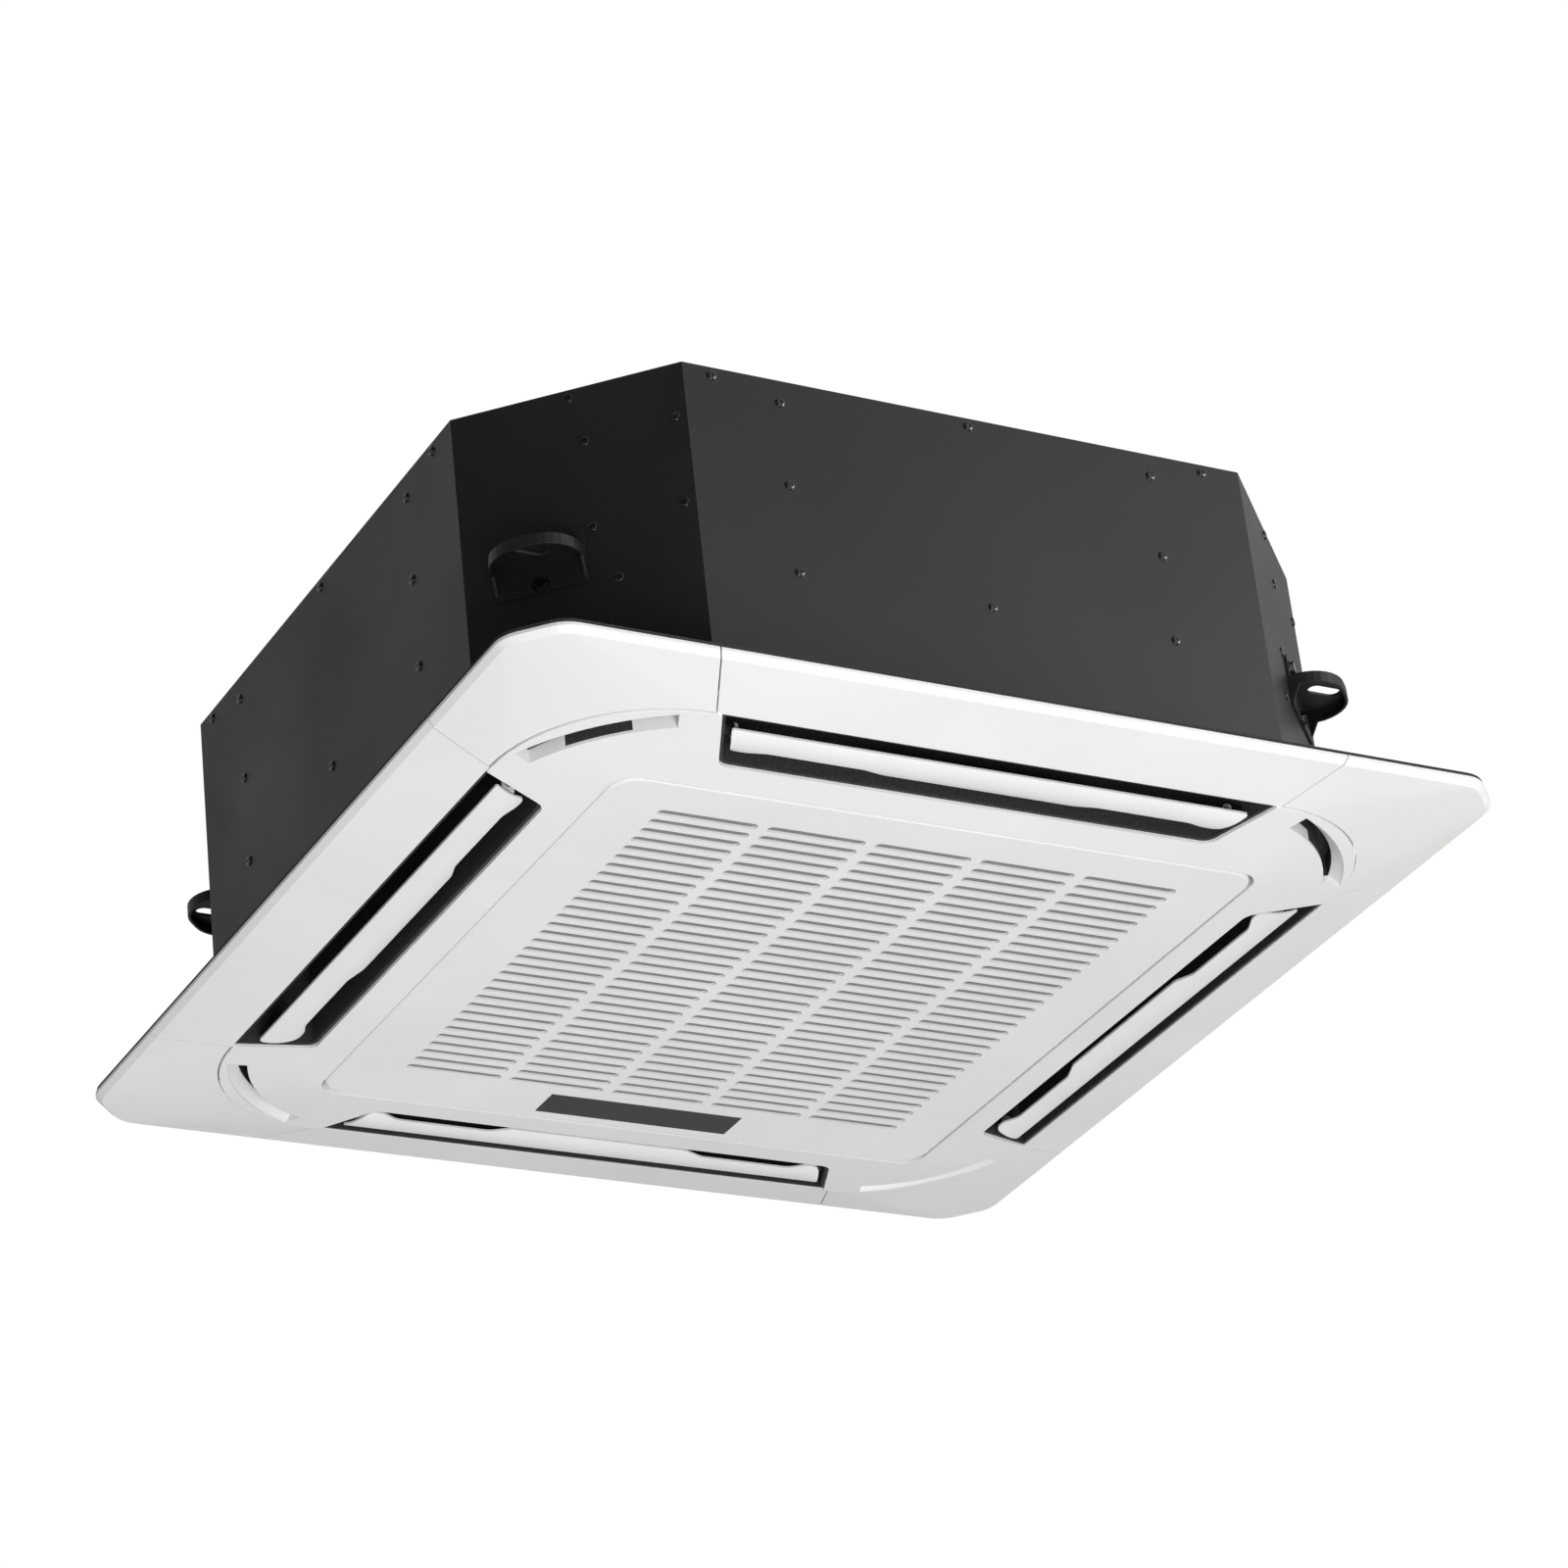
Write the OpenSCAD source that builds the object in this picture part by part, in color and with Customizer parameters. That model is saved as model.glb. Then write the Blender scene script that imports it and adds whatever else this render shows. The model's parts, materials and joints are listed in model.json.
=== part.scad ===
// Ceiling cassette air conditioner: a steel casing above the ceiling and a plastic panel below it.
// The origin lies midway between the four hanging rods, on the underside of the slotted hanger plates.
// +Z points up to the ceiling slab, and the display window is on the +Y side of the intake grille.

/* [Casing] */
// Width across the flat sides of the steel casing
casing_w = 840; // [838:1:850]
// Height of the casing
casing_h = 300; // [285:5:330]
// Leg of the cut at each corner of the casing
casing_cut = 145; // [142:1:150]
// Thickness of the sheet steel
sheet_t = 1.2; // [0.8:0.1:1.5]
// Thickness of the foam under the top plate, and depth of the plate's turned-down edge
top_foam_t = 16; // [14:1:20]
// Thickness of the foam on the side walls
liner_t = 10; // [8:0.5:10]
// Gap between the ceiling and the casing's underside
casing_lift = 8; // [6:0.5:12]

/* [Hangers] */
// How far a hanging rod stands out from the cut corner, measured along X
rod_out = 35; // [32:1:38]
// Half of what the rods' distance along X has over their distance along Y
rod_shift = 50; // [45:1:52]
// Height of the hanger plates above the ceiling
hanger_h = 150; // [130:5:170]
// Width of the slot for a rod
rod_slot_w = 14; // [12:1:15]
// Length of the slot for a rod
rod_slot_l = 32; // [28:1:34]
// Thickness of the hanger's steel
hanger_t = 2.5; // [2:0.5:3]
// Width of the hanger
hanger_w = 80; // [76:2:84]
// Length of the hanger's plate
hanger_l = 44; // [42:1:48]
// Height of the hanger's foot on the casing
hanger_foot_h = 52; // [48:2:56]

/* [Panel] */
// How far the panel's rim stands out past each side of the casing
rim_out = 55; // [50:1:60]
// Leg of the cut at each corner of the panel
panel_cut = 38; // [36:1:42]
// Radius that softens each end of that cut
panel_cut_r = 30; // [20:2:32]
// Height of the rim's upright edge
rim_h = 8; // [7:0.5:9]
// Width of the bevel under the rim's edge
rim_bevel = 5; // [3:0.5:6]
// Distance from the side of the casing in to the edge of the raised inner ring
ring_side = 11; // [10:0.5:13]
// Corner radius of the raised inner ring
ring_r = 135; // [134:0.5:136]
// Depth of the panel's outer band below the ceiling where it meets the ring
ring_drop = 21; // [20:0.5:22]
// Height by which the ring stands proud of the outer band
ring_lip = 1.5; // [1:0.5:2]
// Depth of the lowest face below the ceiling
face_drop = 33; // [32:0.5:35]
// Thickness of the moulded plastic
skin_t = 3; // [2.5:0.1:3]
// Width of the seams between the panel's parts
seam_w = 1.2; // [1.2:0.1:1.4]
// Distance from the ring's side to the near end of a corner cover's seam
cover_side = 137; // [134:1:140]
// Distance from the rim's side to the far end of that seam
cover_side_out = 175; // [168:1:182]
// Thickness of the foam strip on the rim
gasket_t = 3.5; // [3:0.5:5]
// Width of the foam strip on the rim
gasket_w = 12; // [9:1:14]

/* [Outlets] */
// Width of an air outlet
outlet_w = 65; // [63:0.5:66]
// Distance from the ring's side to an outlet's end at its outer edge
outlet_side = 143; // [141:0.5:145]
// How much shorter each half of an outlet is at its inner edge
outlet_taper = 29; // [27:0.5:31]
// Radius of an outlet's two inner corners
outlet_r = 13; // [10:1:15]
// Thickness of the dark foam duct inside an outlet
duct_t = 3; // [2.5:0.1:3]
// Distance from the ring's side to the centre that a corner air slot is bent round
slot_side = 178; // [176:0.5:180]
// Width of the land between a corner air slot and the ring's edge
slot_land = 11.8; // [11:0.2:13]
// Width of a corner air slot
slot_w = 18; // [16:1:19]
// Half the angle that a corner air slot covers
slot_angle = 22.5; // [20:0.5:22.5]
// Height of the white walls inside a corner air slot
slot_depth = 10; // [8:0.5:12]
// How far the outer wall of a corner air slot leans inwards
slot_lean = 9; // [6:0.5:10]

/* [Louvers] */
// Distance from the ring's edge to a louver's outer edge
vane_side = 17; // [16:0.5:18]
// Width of a louver in its middle and at its ends
vane_w = 32; // [30:0.5:33]
// Width of a louver at its two waists
vane_waist = 25.5; // [24:0.5:28]
// Thickness of a louver
vane_t = 2.2; // [2:0.1:3]
// How far a louver bows down between its long edges
vane_bow = 3; // [2.5:0.1:3.5]
// Depth of a louver's long edges below the ceiling
vane_drop = 23; // [22.5:0.1:23.5]
// Gap between a louver's ends and the duct
vane_gap = 5.5; // [5.2:0.1:6]
// Distance of a louver's pivot from its outer edge
pivot_in = 16; // [14:0.5:17]
// Depth of a louver's pivot below the ceiling
pivot_drop = 12; // [11.5:0.1:12.5]
// Radius of a louver's pivot pin
pivot_r = 3; // [2.5:0.1:3.2]
// Radius of the pivot bush
bush_r = 5.5; // [5:0.1:6]
// Radius of the step motor that turns a louver
step_r = 9; // [8:0.2:9.2]
// Length of the step motor
step_l = 16; // [13:1:17]

/* [Grille] */
// Width of the border between an outlet and the grille
border_w = 33; // [32:0.5:34]
// Corner radius of the intake grille
grille_r = 26; // [24:1:28]
// Corner radius of the opening round the grille, sharper so that the corners clear it as they turn
hole_r = 21; // [20:0.5:22]
// Size of the softened edge round the grille's face
grille_edge = 2.4; // [2.2:0.1:2.4]
// Number of slot columns
slot_cols = 5; // [3:1:5]
// Number of slot rows
slot_rows = 32; // [20:1:32]
// Width of the bars between slot columns
slot_bar = 10; // [8:0.5:14]
// Distance of the slots from the grille's left and right edges
slots_side = 58.5; // [54:0.5:70]
// Distance of the first row of slots from the grille's -Y edge
slots_front = 48; // [46:0.5:60]
// Distance of the last row of slots from the display window
slots_back = 19.25; // [16:0.25:30]
// Width of a slot
air_slot_w = 9.5; // [6:0.5:11]
// Distance of the hinge axis from the grille's edge
hinge_in = 21; // [20.5:0.1:21.2]
// Height of the hinge axis above the grille's face
hinge_up = 7.3; // [7.3:0.1:7.6]
// Radius of the hinge pins
hinge_r = 2; // [1.6:0.1:2.2]
// Distance of each hinge and catch from the middle, along X
hinge_x = 150; // [140:5:200]
// Half the length of the display window
window_half = 98; // [80:2:106]
// Distance of the display window's inner edge from the grille's +Y edge
window_side = 51; // [50:0.5:53]
// Width of the display window
window_w = 37; // [32:1:38]
// Thickness of the air filter's frame
filter_t = 4; // [3:0.5:4.5]

/* [Fan] */
// Gap between the fan wheel and the coil
fan_side = 50; // [44:1:60]
// Gap between the fan wheel and the foam above it
fan_roof = 30; // [24:1:34]
// Number of blades
blades = 7; // [5:1:9]
// How much smaller the inlet ring's throat is than the fan wheel, in radius
throat_side = 59; // [57:1:64]
// Thickness of the fan's plastic
fan_t = 3; // [2:0.5:3.5]
// Radius of the motor
motor_r = 70; // [60:1:74]
// Height of the motor
motor_h = 76; // [66:1:80]
// Radius of the motor's shaft
shaft_r = 6; // [5:0.5:7]

/* [Heat exchanger] */
// Distance between the coil and the air outlets
coil_side = 27; // [25:1:30]
// Depth of the coil, two columns of tube
coil_t = 42; // [40:1:44]
// Inner corner radius of the coil
coil_r = 55; // [45:1:65]
// Distance from the coil's inner side to its two ends beside the pipe corner
coil_short = 95; // [93:1:97]
// Number of tubes in a column
tube_rows = 10; // [6:2:12]
// Radius of the coil's tubes
tube_r = 4; // [3:0.5:4.5]
// Radius of the gas pipe
gas_r = 8; // [6.5:0.5:8]
// Radius of the liquid pipe
liquid_r = 5; // [3:0.5:5]
// Length of pipe outside the casing
pipe_out = 36; // [30:1:40]

/* [Drain] */
// Height of the drain pan
pan_h = 60; // [56:1:64]
// Depth of the gutter under the coil
gutter_h = 24; // [20:1:28]
// Depth of the sump at the pipe corner
sump_h = 42; // [38:1:46]
// Radius of the drain pump
pump_r = 26; // [24:1:27]
// Height of the drain pump's water chamber
pump_h = 70; // [64:1:76]
// Outer radius of the drain spout
drain_r = 16; // [14:0.5:16]
// Travel of the float that stops the unit when the pan fills up
float_travel = 12; // [8:1:14]

/* [Electrics] */
// Length of the control box
box_l = 290; // [240:10:300]
// Gap between the control box and the panel's inner flange
box_side = 3.2; // [2:0.2:6]
// Height of the control box
box_h = 30; // [26:1:30]
// Thickness of the control box's walls
box_t = 1.5; // [1:0.1:1.8]

/* [Hidden] */
$fn = 64;

// Overrun of every cut, clearance round fixed parts, clearance of a turning fit, and a thin slab
over = 1;
snug = 0.3;
run_gap = 0.05;
thin = 0.1;

// Plan sizes, each from the one outside it
half_w = casing_w / 2;
panel_w = casing_w + 2 * rim_out;
hanger_pitch_x = casing_w - casing_cut + rod_out + rod_shift;
hanger_pitch_y = casing_w - casing_cut + rod_out - rod_shift;
ring_half = half_w - ring_side;
cover_in = ring_half - cover_side;
cover_out = panel_w / 2 - cover_side_out;
outlet_half = ring_half - outlet_side;
outlet_half_in = outlet_half - outlet_taper;
outlet_in = ring_half - outlet_w;
slot_centre = ring_half - slot_side;
vane_out = ring_half - vane_side;
pivot_at = vane_out - pivot_in;
grille_half = outlet_in - border_w;
hole_half = grille_half + seam_w;
inner_flange = 26;
window_in = grille_half - window_side;
coil_in = outlet_in - coil_side - coil_t;
coil_stop = coil_in - coil_short;
fan_r = coil_in - fan_side;
throat_r = fan_r - throat_side;

// Levels, from the ceiling upwards and downwards
rim_z = -hanger_h;
casing_z = rim_z + casing_lift;
top_z = casing_z + casing_h;
roof_z = top_z - sheet_t;
foam_z = roof_z - top_foam_t;
pan_z = casing_z + sheet_t;
pan_top_z = pan_z + pan_h;
gutter_z = pan_top_z - gutter_h;
sump_z = pan_top_z - sump_h;
ring_z = rim_z - ring_drop;
face_z = rim_z - face_drop;
plate_z = face_z + skin_t;
coil_h = foam_z - gutter_z;

// Colours of the real finishes
dark_steel = [0.14, 0.14, 0.145];
zinc = [0.68, 0.69, 0.70];
white_plastic = [0.90, 0.90, 0.89];
dark_plastic = [0.12, 0.12, 0.125];
dark_foam = [0.07, 0.07, 0.07];
white_foam = [0.93, 0.93, 0.92];
copper = [0.75, 0.42, 0.28];
brass = [0.78, 0.64, 0.35];
fin_silver = [0.74, 0.76, 0.78];
board_green = [0.10, 0.35, 0.18];
smoked = [0.10, 0.10, 0.11];
filter_grey = [0.25, 0.27, 0.30];

// Outline of the casing, pulled in by a distance with its eight sides kept parallel
root2 = sqrt(2);
function octagon(inset) = let (h = half_w - inset, c = h - casing_cut + inset * (2 - root2))
    [[-c, -h], [c, -h], [h, -c], [h, c], [c, h], [-c, h], [-h, c], [-h, -c]];

// The corner at b between a and c, rounded to a radius in n steps
function unit(v) = v / norm(v);
function fillet(a, b, c, r, n) = let (u = unit(a - b), w = unit(c - b), half = acos(u * w) / 2,
    m = b + unit(u + w) * r / sin(half), p = b + u * r / tan(half) - m, q = b + w * r / tan(half) - m)
    [for (i = [0:n]) let (s = i / n, turn = 180 - 2 * half)
        m + (p * sin((1 - s) * turn) + q * sin(s * turn)) / sin(turn)];
function rounded(pts, radii, n) = let (k = len(pts)) [for (i = [0:k - 1])
    each radii[i] > 0 ? fillet(pts[(i + k - 1) % k], pts[i], pts[(i + 1) % k], radii[i], n) : [pts[i]]];
function round_box(h, r, n = 10) = rounded([[-h, -h], [h, -h], [h, h], [-h, h]], [r, r, r, r], n);
function rim_pts(inset) = let (h = panel_w / 2 - inset, c = h - panel_cut + inset * (2 - root2),
    r = panel_cut_r) rounded([[-c, -h], [c, -h], [h, -c], [h, c], [c, h], [-c, h], [-h, c], [-h, -c]],
    [r, r, r, r, r, r, r, r], 4);
function ring_pts(inset) = round_box(ring_half - inset, ring_r - inset, 16);

// Outline of the outlet on the -Y side, grown by a margin, with slanted ends
slant = outlet_taper / outlet_w;
slant_len = sqrt(1 + slant * slant);
function outlet_end(d, g) = outlet_half - (ring_half - d) * slant + g * slant_len;
function outlet_pts(g) = let (a = outlet_end(ring_half + g, g), b = outlet_end(outlet_in - g, g),
    r = outlet_r + g) rounded([[-a, -ring_half - g], [a, -ring_half - g], [b, -outlet_in + g],
    [-b, -outlet_in + g]], [0, 0, r, r], 6);

module prism(pts, z0, z1) {
    translate([0, 0, z0]) linear_extrude(z1 - z0) polygon(pts);
}
// A closed band between an outer and an inner outline
module ring_2d(outer, inner) {
    difference() {
        polygon(outer);
        polygon(inner);
    }
}
module band(outer, inner, z0, z1) {
    translate([0, 0, z0]) linear_extrude(z1 - z0) ring_2d(outer, inner);
}
module disc(r, z0, z1) {
    translate([0, 0, z0]) cylinder(r = r, h = z1 - z0);
}
// A ring with a hole through it
module washer(r, hole, z0, z1) {
    difference() {
        disc(r, z0, z1);
        disc(hole, z0 - over, z1 + over);
    }
}
module hexagon(r, z0, z1) {
    translate([0, 0, z0]) cylinder(r = r, h = z1 - z0, $fn = 6);
}
// A block given by two opposite corners
module block(a, b) {
    translate(a) cube(b - a);
}
// A rod along X from x0 to x1
module rod_x(r, x0, x1) {
    translate([x0, 0, 0]) rotate([0, 90, 0]) cylinder(r = r, h = x1 - x0);
}
// A rod along Y from y0 to y1
module rod_y(r, y0, y1) {
    translate([0, y1, 0]) rotate([90, 0, 0]) cylinder(r = r, h = y1 - y0);
}
// A bar with round ends, along X
module stadium(l, w) {
    square([l - w, w], center = true);
    for (x = [w - l, l - w]) translate([x / 2, 0]) circle(d = w, $fn = 24);
}
module quarter_turns() {
    for (i = [0:3]) rotate(90 * i) children();
}
module pair_x() {
    children();
    mirror([1, 0, 0]) children();
}
module pair_y() {
    children();
    mirror([0, 1, 0]) children();
}

// The cut face at the -X, -Y corner: its length, and its distance from the middle
cut_len = casing_cut * root2;
cut_at = half_w * root2 - casing_cut / root2;
// Puts its child at the middle of that cut face, with -Y pointing outwards
module cut_frame() {
    rotate(-45) translate([0, -cut_at, 0]) children();
}

// Screws of the casing: places as shares of a face's length and of the casing's height
screw_r = 1.8;
screw_l = 8;
head_r = 4;
head_h = 1.8;
edge_drop = top_foam_t / 2;
edge_shares = [0.05, 0.5, 0.93];
row_shares = [0.165, 0.83];
row_drop_shares = [0.073, 0.343, 0.623];
cut_edge_share = 0.51;
turned_shares = [[0.95, 0.17], [0.56, 0.177], [0.95, 0.447]];
hanger_side_shares = [[0.56, 0.453], [0.65, 0.63]];
module on_face(share, drop) {
    face_l = casing_w - 2 * casing_cut;
    translate([(share - 0.5) * face_l, -half_w, top_z - drop]) rotate([90, 0, 0]) children();
}
module on_cut(share, drop) {
    cut_frame() translate([(share - 0.5) * cut_len, 0, top_z - drop]) rotate([90, 0, 0]) children();
}
module wall_screws() {
    quarter_turns() {
        for (s = edge_shares) on_face(s, edge_drop) children();
        for (s = row_shares, d = row_drop_shares) on_face(s, d * casing_h) children();
        on_face(edge_shares[1], row_drop_shares[2] * casing_h) children();
        on_cut(cut_edge_share, edge_drop) children();
        for (p = turned_shares) on_cut(p[0], p[1] * casing_h) children();
    }
    pair_y() pair_x() for (p = hanger_side_shares) on_cut(p[0], p[1] * casing_h) children();
}
module screw() {
    disc(head_r, 0, head_h / 2);
    disc(head_r - head_h / 4, head_h / 2, head_h);
    disc(screw_r, -screw_l, 0);
}

// Hangers: a foot bolted to the cut face, and a slotted plate with its edge turned down
bolt_r = 3;
bolt_l = 9;
bolt_washer_t = 1;
bolt_washer_share = 2.5;
bolt_head_share = 1.9;
lip_h = 8;
nose_r = 34;
bolt_shares = [[0, -0.42], [-0.34, 0.3], [0.34, 0.3]];
foot_drop_share = 0.55;
foot_drop = hanger_foot_h * foot_drop_share;
hanger_shift = rod_shift / root2;
module hanger_frame() {
    cut_frame() translate([-hanger_shift, 0, 0]) children();
}
module hanger_fixings() {
    pair_y() pair_x() hanger_frame() for (p = bolt_shares)
        translate([p[0] * hanger_w, 0, p[1] * hanger_foot_h]) rotate([90, 0, 0]) children();
}
function lug_pts(inset) = let (x = hanger_w / 2 - inset, y = hanger_l - inset, r = nose_r - inset)
    rounded([[-x, 0], [-x, -y], [x, -y], [x, 0]], [0, r, r, 0], 8);
module hanger_bracket() {
    hanger_frame() {
        block([-hanger_w / 2, -hanger_t, -foot_drop], [hanger_w / 2, 0, hanger_foot_h - foot_drop]);
        prism(lug_pts(0), 0, hanger_t);
        band(lug_pts(0), lug_pts(hanger_t), -lip_h, over);
        pair_x() translate([hanger_w / 2, 0, 0]) rotate([90, 0, -90]) linear_extrude(hanger_t)
            polygon([[0, -foot_drop], [0, 0], [hanger_l - nose_r, 0], [hanger_l - nose_r, -lip_h]]);
    }
}
module hanger_brackets() color(dark_steel) difference() {
    pair_y() pair_x() hanger_bracket();
    pair_y() pair_x() translate([-hanger_pitch_x / 2, -hanger_pitch_y / 2, -over])
        linear_extrude(hanger_t + 2 * over) stadium(rod_slot_l, rod_slot_w);
    hanger_fixings() disc(bolt_r + run_gap, -over, hanger_t + over);
}
module bracket_bolts() color(zinc) hanger_fixings() {
    disc(bolt_r, -bolt_l, hanger_t);
    disc(bolt_r * bolt_washer_share, hanger_t, hanger_t + bolt_washer_t);
    hexagon(bolt_r * bolt_head_share, hanger_t, hanger_t + bolt_washer_t + bolt_r);
}

// Side panels: each wraps round a corner, and meets the next one at a seam on the cut face
wrap_share = 0.6;
wall_seam = 0.2;
flange_w = half_w - ring_half - over;
tab_w = 36;
tab_l = 52;
tab_screw = 40;
panel_screw_r = 2.5;
function wrap_pt(shift) = let (s = wrap_share * casing_cut + shift) [s - half_w, casing_cut - s - half_w];
module panel_zone() {
    a = wrap_pt(wall_seam);
    b = wrap_pt(0);
    polygon([[0, 0], 2 * a, 2 * [-b[1], b[0]]]);
}
module wall_sheet() {
    translate([0, 0, casing_z]) linear_extrude(roof_z - casing_z) intersection() {
        panel_zone();
        ring_2d(octagon(0), octagon(sheet_t));
    }
    translate([0, 0, casing_z]) linear_extrude(sheet_t) intersection() {
        panel_zone();
        ring_2d(octagon(0), octagon(flange_w));
    }
    rotate(90) cut_frame() block([-tab_w / 2, -tab_l, casing_z], [tab_w / 2, sheet_t, pan_z]);
}
module side_panel(i) {
    difference() {
        rotate(90 * i) wall_sheet();
        wall_screws() disc(screw_r + run_gap, -screw_l, over);
        hanger_fixings() disc(bolt_r + run_gap, -bolt_l, over);
        rotate(90 + 90 * i) cut_frame() translate([0, -tab_screw])
            disc(panel_screw_r + run_gap, casing_z - over, pan_z + over);
        if (i == 1) wall_openings();
        if (i == 2) gland_place() disc(gland_r + run_gap, -gland_l, over);
    }
}
module side_panel_front() color(dark_steel) side_panel(0);
module side_panel_right() color(dark_steel) side_panel(1);
module side_panel_back() color(dark_steel) side_panel(2);
module side_panel_left() color(dark_steel) side_panel(3);

module top_plate() color(dark_steel) difference() {
    union() {
        prism(octagon(0), roof_z, top_z);
        band(octagon(sheet_t), octagon(2 * sheet_t), foam_z, roof_z + sheet_t / 2);
    }
    wall_screws() disc(screw_r + run_gap, -screw_l, over);
    motor_feet() disc(motor_bolt_r + run_gap, foam_z, top_z + over);
}
module side_insulation() color(white_foam) difference() {
    band(octagon(sheet_t), octagon(sheet_t + liner_t), pan_top_z, foam_z);
    wall_screws() disc(screw_r + snug, -screw_l - over, over);
    hanger_fixings() disc(bolt_r + snug, -bolt_l - over, over);
    wall_openings();
    gland_place() disc(gland_r + snug, -gland_l - over, over);
}
module top_insulation() color(white_foam) difference() {
    prism(octagon(2 * sheet_t + snug), foam_z, roof_z);
    disc(foot_at + foot_r + over, foam_z - over, roof_z + over);
    wall_screws() disc(screw_r + snug, -screw_l - over, over);
}
module casing_screws() color(zinc) {
    wall_screws() screw();
    plate_screws() translate([0, 0, sheet_t]) screw();
}

// Pipe corner at +X, +Y: the pipes, their window in the casing, and the plate that closes it
pipe_step = 22;
header_gap = 28;
gas_y = coil_stop + header_gap;
liquid_y = gas_y + pipe_step;
riser_y = liquid_y + pipe_step;
gas_share = 0.673;
liquid_share = 0.507;
drain_share = 0.857;
neck_share = 0.8;
gas_z = gutter_z + gas_share * coil_h;
liquid_z = gutter_z + liquid_share * coil_h;
drain_z = gutter_z + drain_share * coil_h;
window_margin = 12;
plate_margin = 8;
plate_ys = [gas_y - gas_r - window_margin, liquid_y + liquid_r + window_margin + plate_margin];
plate_zs = [liquid_z - liquid_r - window_margin - plate_margin, gas_z + gas_r + window_margin];
module wall_openings() {
    block([half_w - 2 * liner_t, plate_ys[0] + plate_margin, plate_zs[0] + plate_margin],
        [half_w + over, plate_ys[1] - plate_margin, plate_zs[1] - plate_margin]);
    translate([0, riser_y, drain_z]) rod_x(drain_r * neck_share + snug, half_w - 2 * liner_t, half_w + over);
    plate_screws() disc(screw_r + run_gap, -screw_l - over, over);
}
module plate_screws() {
    for (y = [plate_ys[0] + plate_margin / 2, plate_ys[1] - plate_margin / 2],
        z = [plate_zs[0] + plate_margin / 2, plate_zs[1] - plate_margin / 2])
        translate([half_w, y, z]) rotate([0, 90, 0]) children();
}
module pipe_plate() color(dark_steel) difference() {
    block([half_w, plate_ys[0], plate_zs[0]], [half_w + sheet_t, plate_ys[1], plate_zs[1]]);
    plate_screws() disc(screw_r + run_gap, -over, sheet_t + over);
    translate([0, gas_y, gas_z]) rod_x(gas_r + snug, half_w - over, half_w + 2 * sheet_t);
    translate([0, liquid_y, liquid_z]) rod_x(liquid_r + snug, half_w - over, half_w + 2 * sheet_t);
}

// Heat exchanger: a finned block bent round three corners, with its tubes in two columns
tube_in = coil_in + coil_t / 4;
tube_out = coil_in + coil_t * 3 / 4;
end_t = 1.5;
end_lap = 3;
bend_stub = 4;
function tube_z(i) = gutter_z + (i + 0.5) * coil_h / tube_rows;
module heat_exchanger() color(fin_silver) difference() {
    band(round_box(coil_in + coil_t, coil_r + coil_t, 12), round_box(coil_in, coil_r, 12), gutter_z, foam_z);
    block([coil_stop, coil_stop, gutter_z - over], [half_w, half_w, foam_z + over]);
}
module end_plate() {
    difference() {
        block([coil_in - end_lap, coil_stop, gutter_z], [coil_in + coil_t + end_lap, coil_stop + end_t, foam_z]);
        for (i = [0:tube_rows - 1], x = [tube_in, tube_out])
            translate([x, 0, tube_z(i)]) rod_y(tube_r + snug, coil_stop - over, coil_stop + end_t + over);
    }
}
module coil_end_plates() color(zinc) {
    end_plate();
    mirror([1, -1, 0]) end_plate();
}
module coil_bends() color(copper) for (i = [0:tube_rows - 1])
    translate([coil_stop + end_t + bend_stub, (tube_in + tube_out) / 2, tube_z(i)]) {
        rotate(-90) rotate_extrude(angle = 180) translate([coil_t / 4, 0]) circle(tube_r, $fn = 24);
        pair_y() translate([0, coil_t / 4, 0]) rod_x(tube_r, -end_t - bend_stub, 0);
    }
// A header beside the coil, its branches to the tubes, and its pipe out of the casing
module header(x, y, r, z) {
    translate([x, y, 0]) disc(r, tube_z(0) - 2 * tube_r, tube_z(tube_rows - 1) + 2 * tube_r);
    for (i = [0:tube_rows - 1]) translate([x, 0, tube_z(i)]) rod_y(tube_r, coil_stop, y);
    translate([0, y, z]) difference() {
        rod_x(r, x, half_w + pipe_out);
        rod_x(r - over, half_w, half_w + pipe_out + over);
    }
}
module gas_pipe() color(copper) header(tube_out, gas_y, gas_r, gas_z);
module liquid_pipe() color(copper) header(tube_in, liquid_y, liquid_r, liquid_z);
nut_l = 18;
nut_wall = 5;
nut_back = 3;
module flare_nut(y, z, r) {
    translate([half_w + pipe_out - nut_back, y, z]) rotate([0, -90, 0]) difference() {
        hexagon(r + nut_wall, 0, nut_l);
        disc(r + run_gap, -over, nut_l + over);
    }
}
module flare_nuts() color(brass) {
    flare_nut(gas_y, gas_z, gas_r);
    flare_nut(liquid_y, liquid_z, liquid_r);
}

// Drain pan: foam tray with a gutter under the coil, a sump, and passages for the supply air
gutter_side = 7;
pan_hole_gap = 10;
sump_gap = 14;
pump_in = 25;
bell_c = 46;
pan_hole_r = throat_r + bell_c + pan_hole_gap;
pump_at = coil_in + pump_in;
gutter_out = coil_in + coil_t + gutter_side;
module drain_pan() color(white_foam) difference() {
    prism(octagon(sheet_t + snug), pan_z, pan_top_z);
    quarter_turns() prism(outlet_pts(snug), pan_z - over, pan_top_z + over);
    disc(pan_hole_r, pan_z - over, pan_top_z + over);
    band(round_box(gutter_out, coil_r + coil_t + gutter_side, 12),
        round_box(coil_in - gutter_side, coil_r - gutter_side, 12), gutter_z, pan_top_z + over);
    translate([pump_at, pump_at]) disc(pump_r + sump_gap, sump_z, pan_top_z + over);
}

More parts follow.
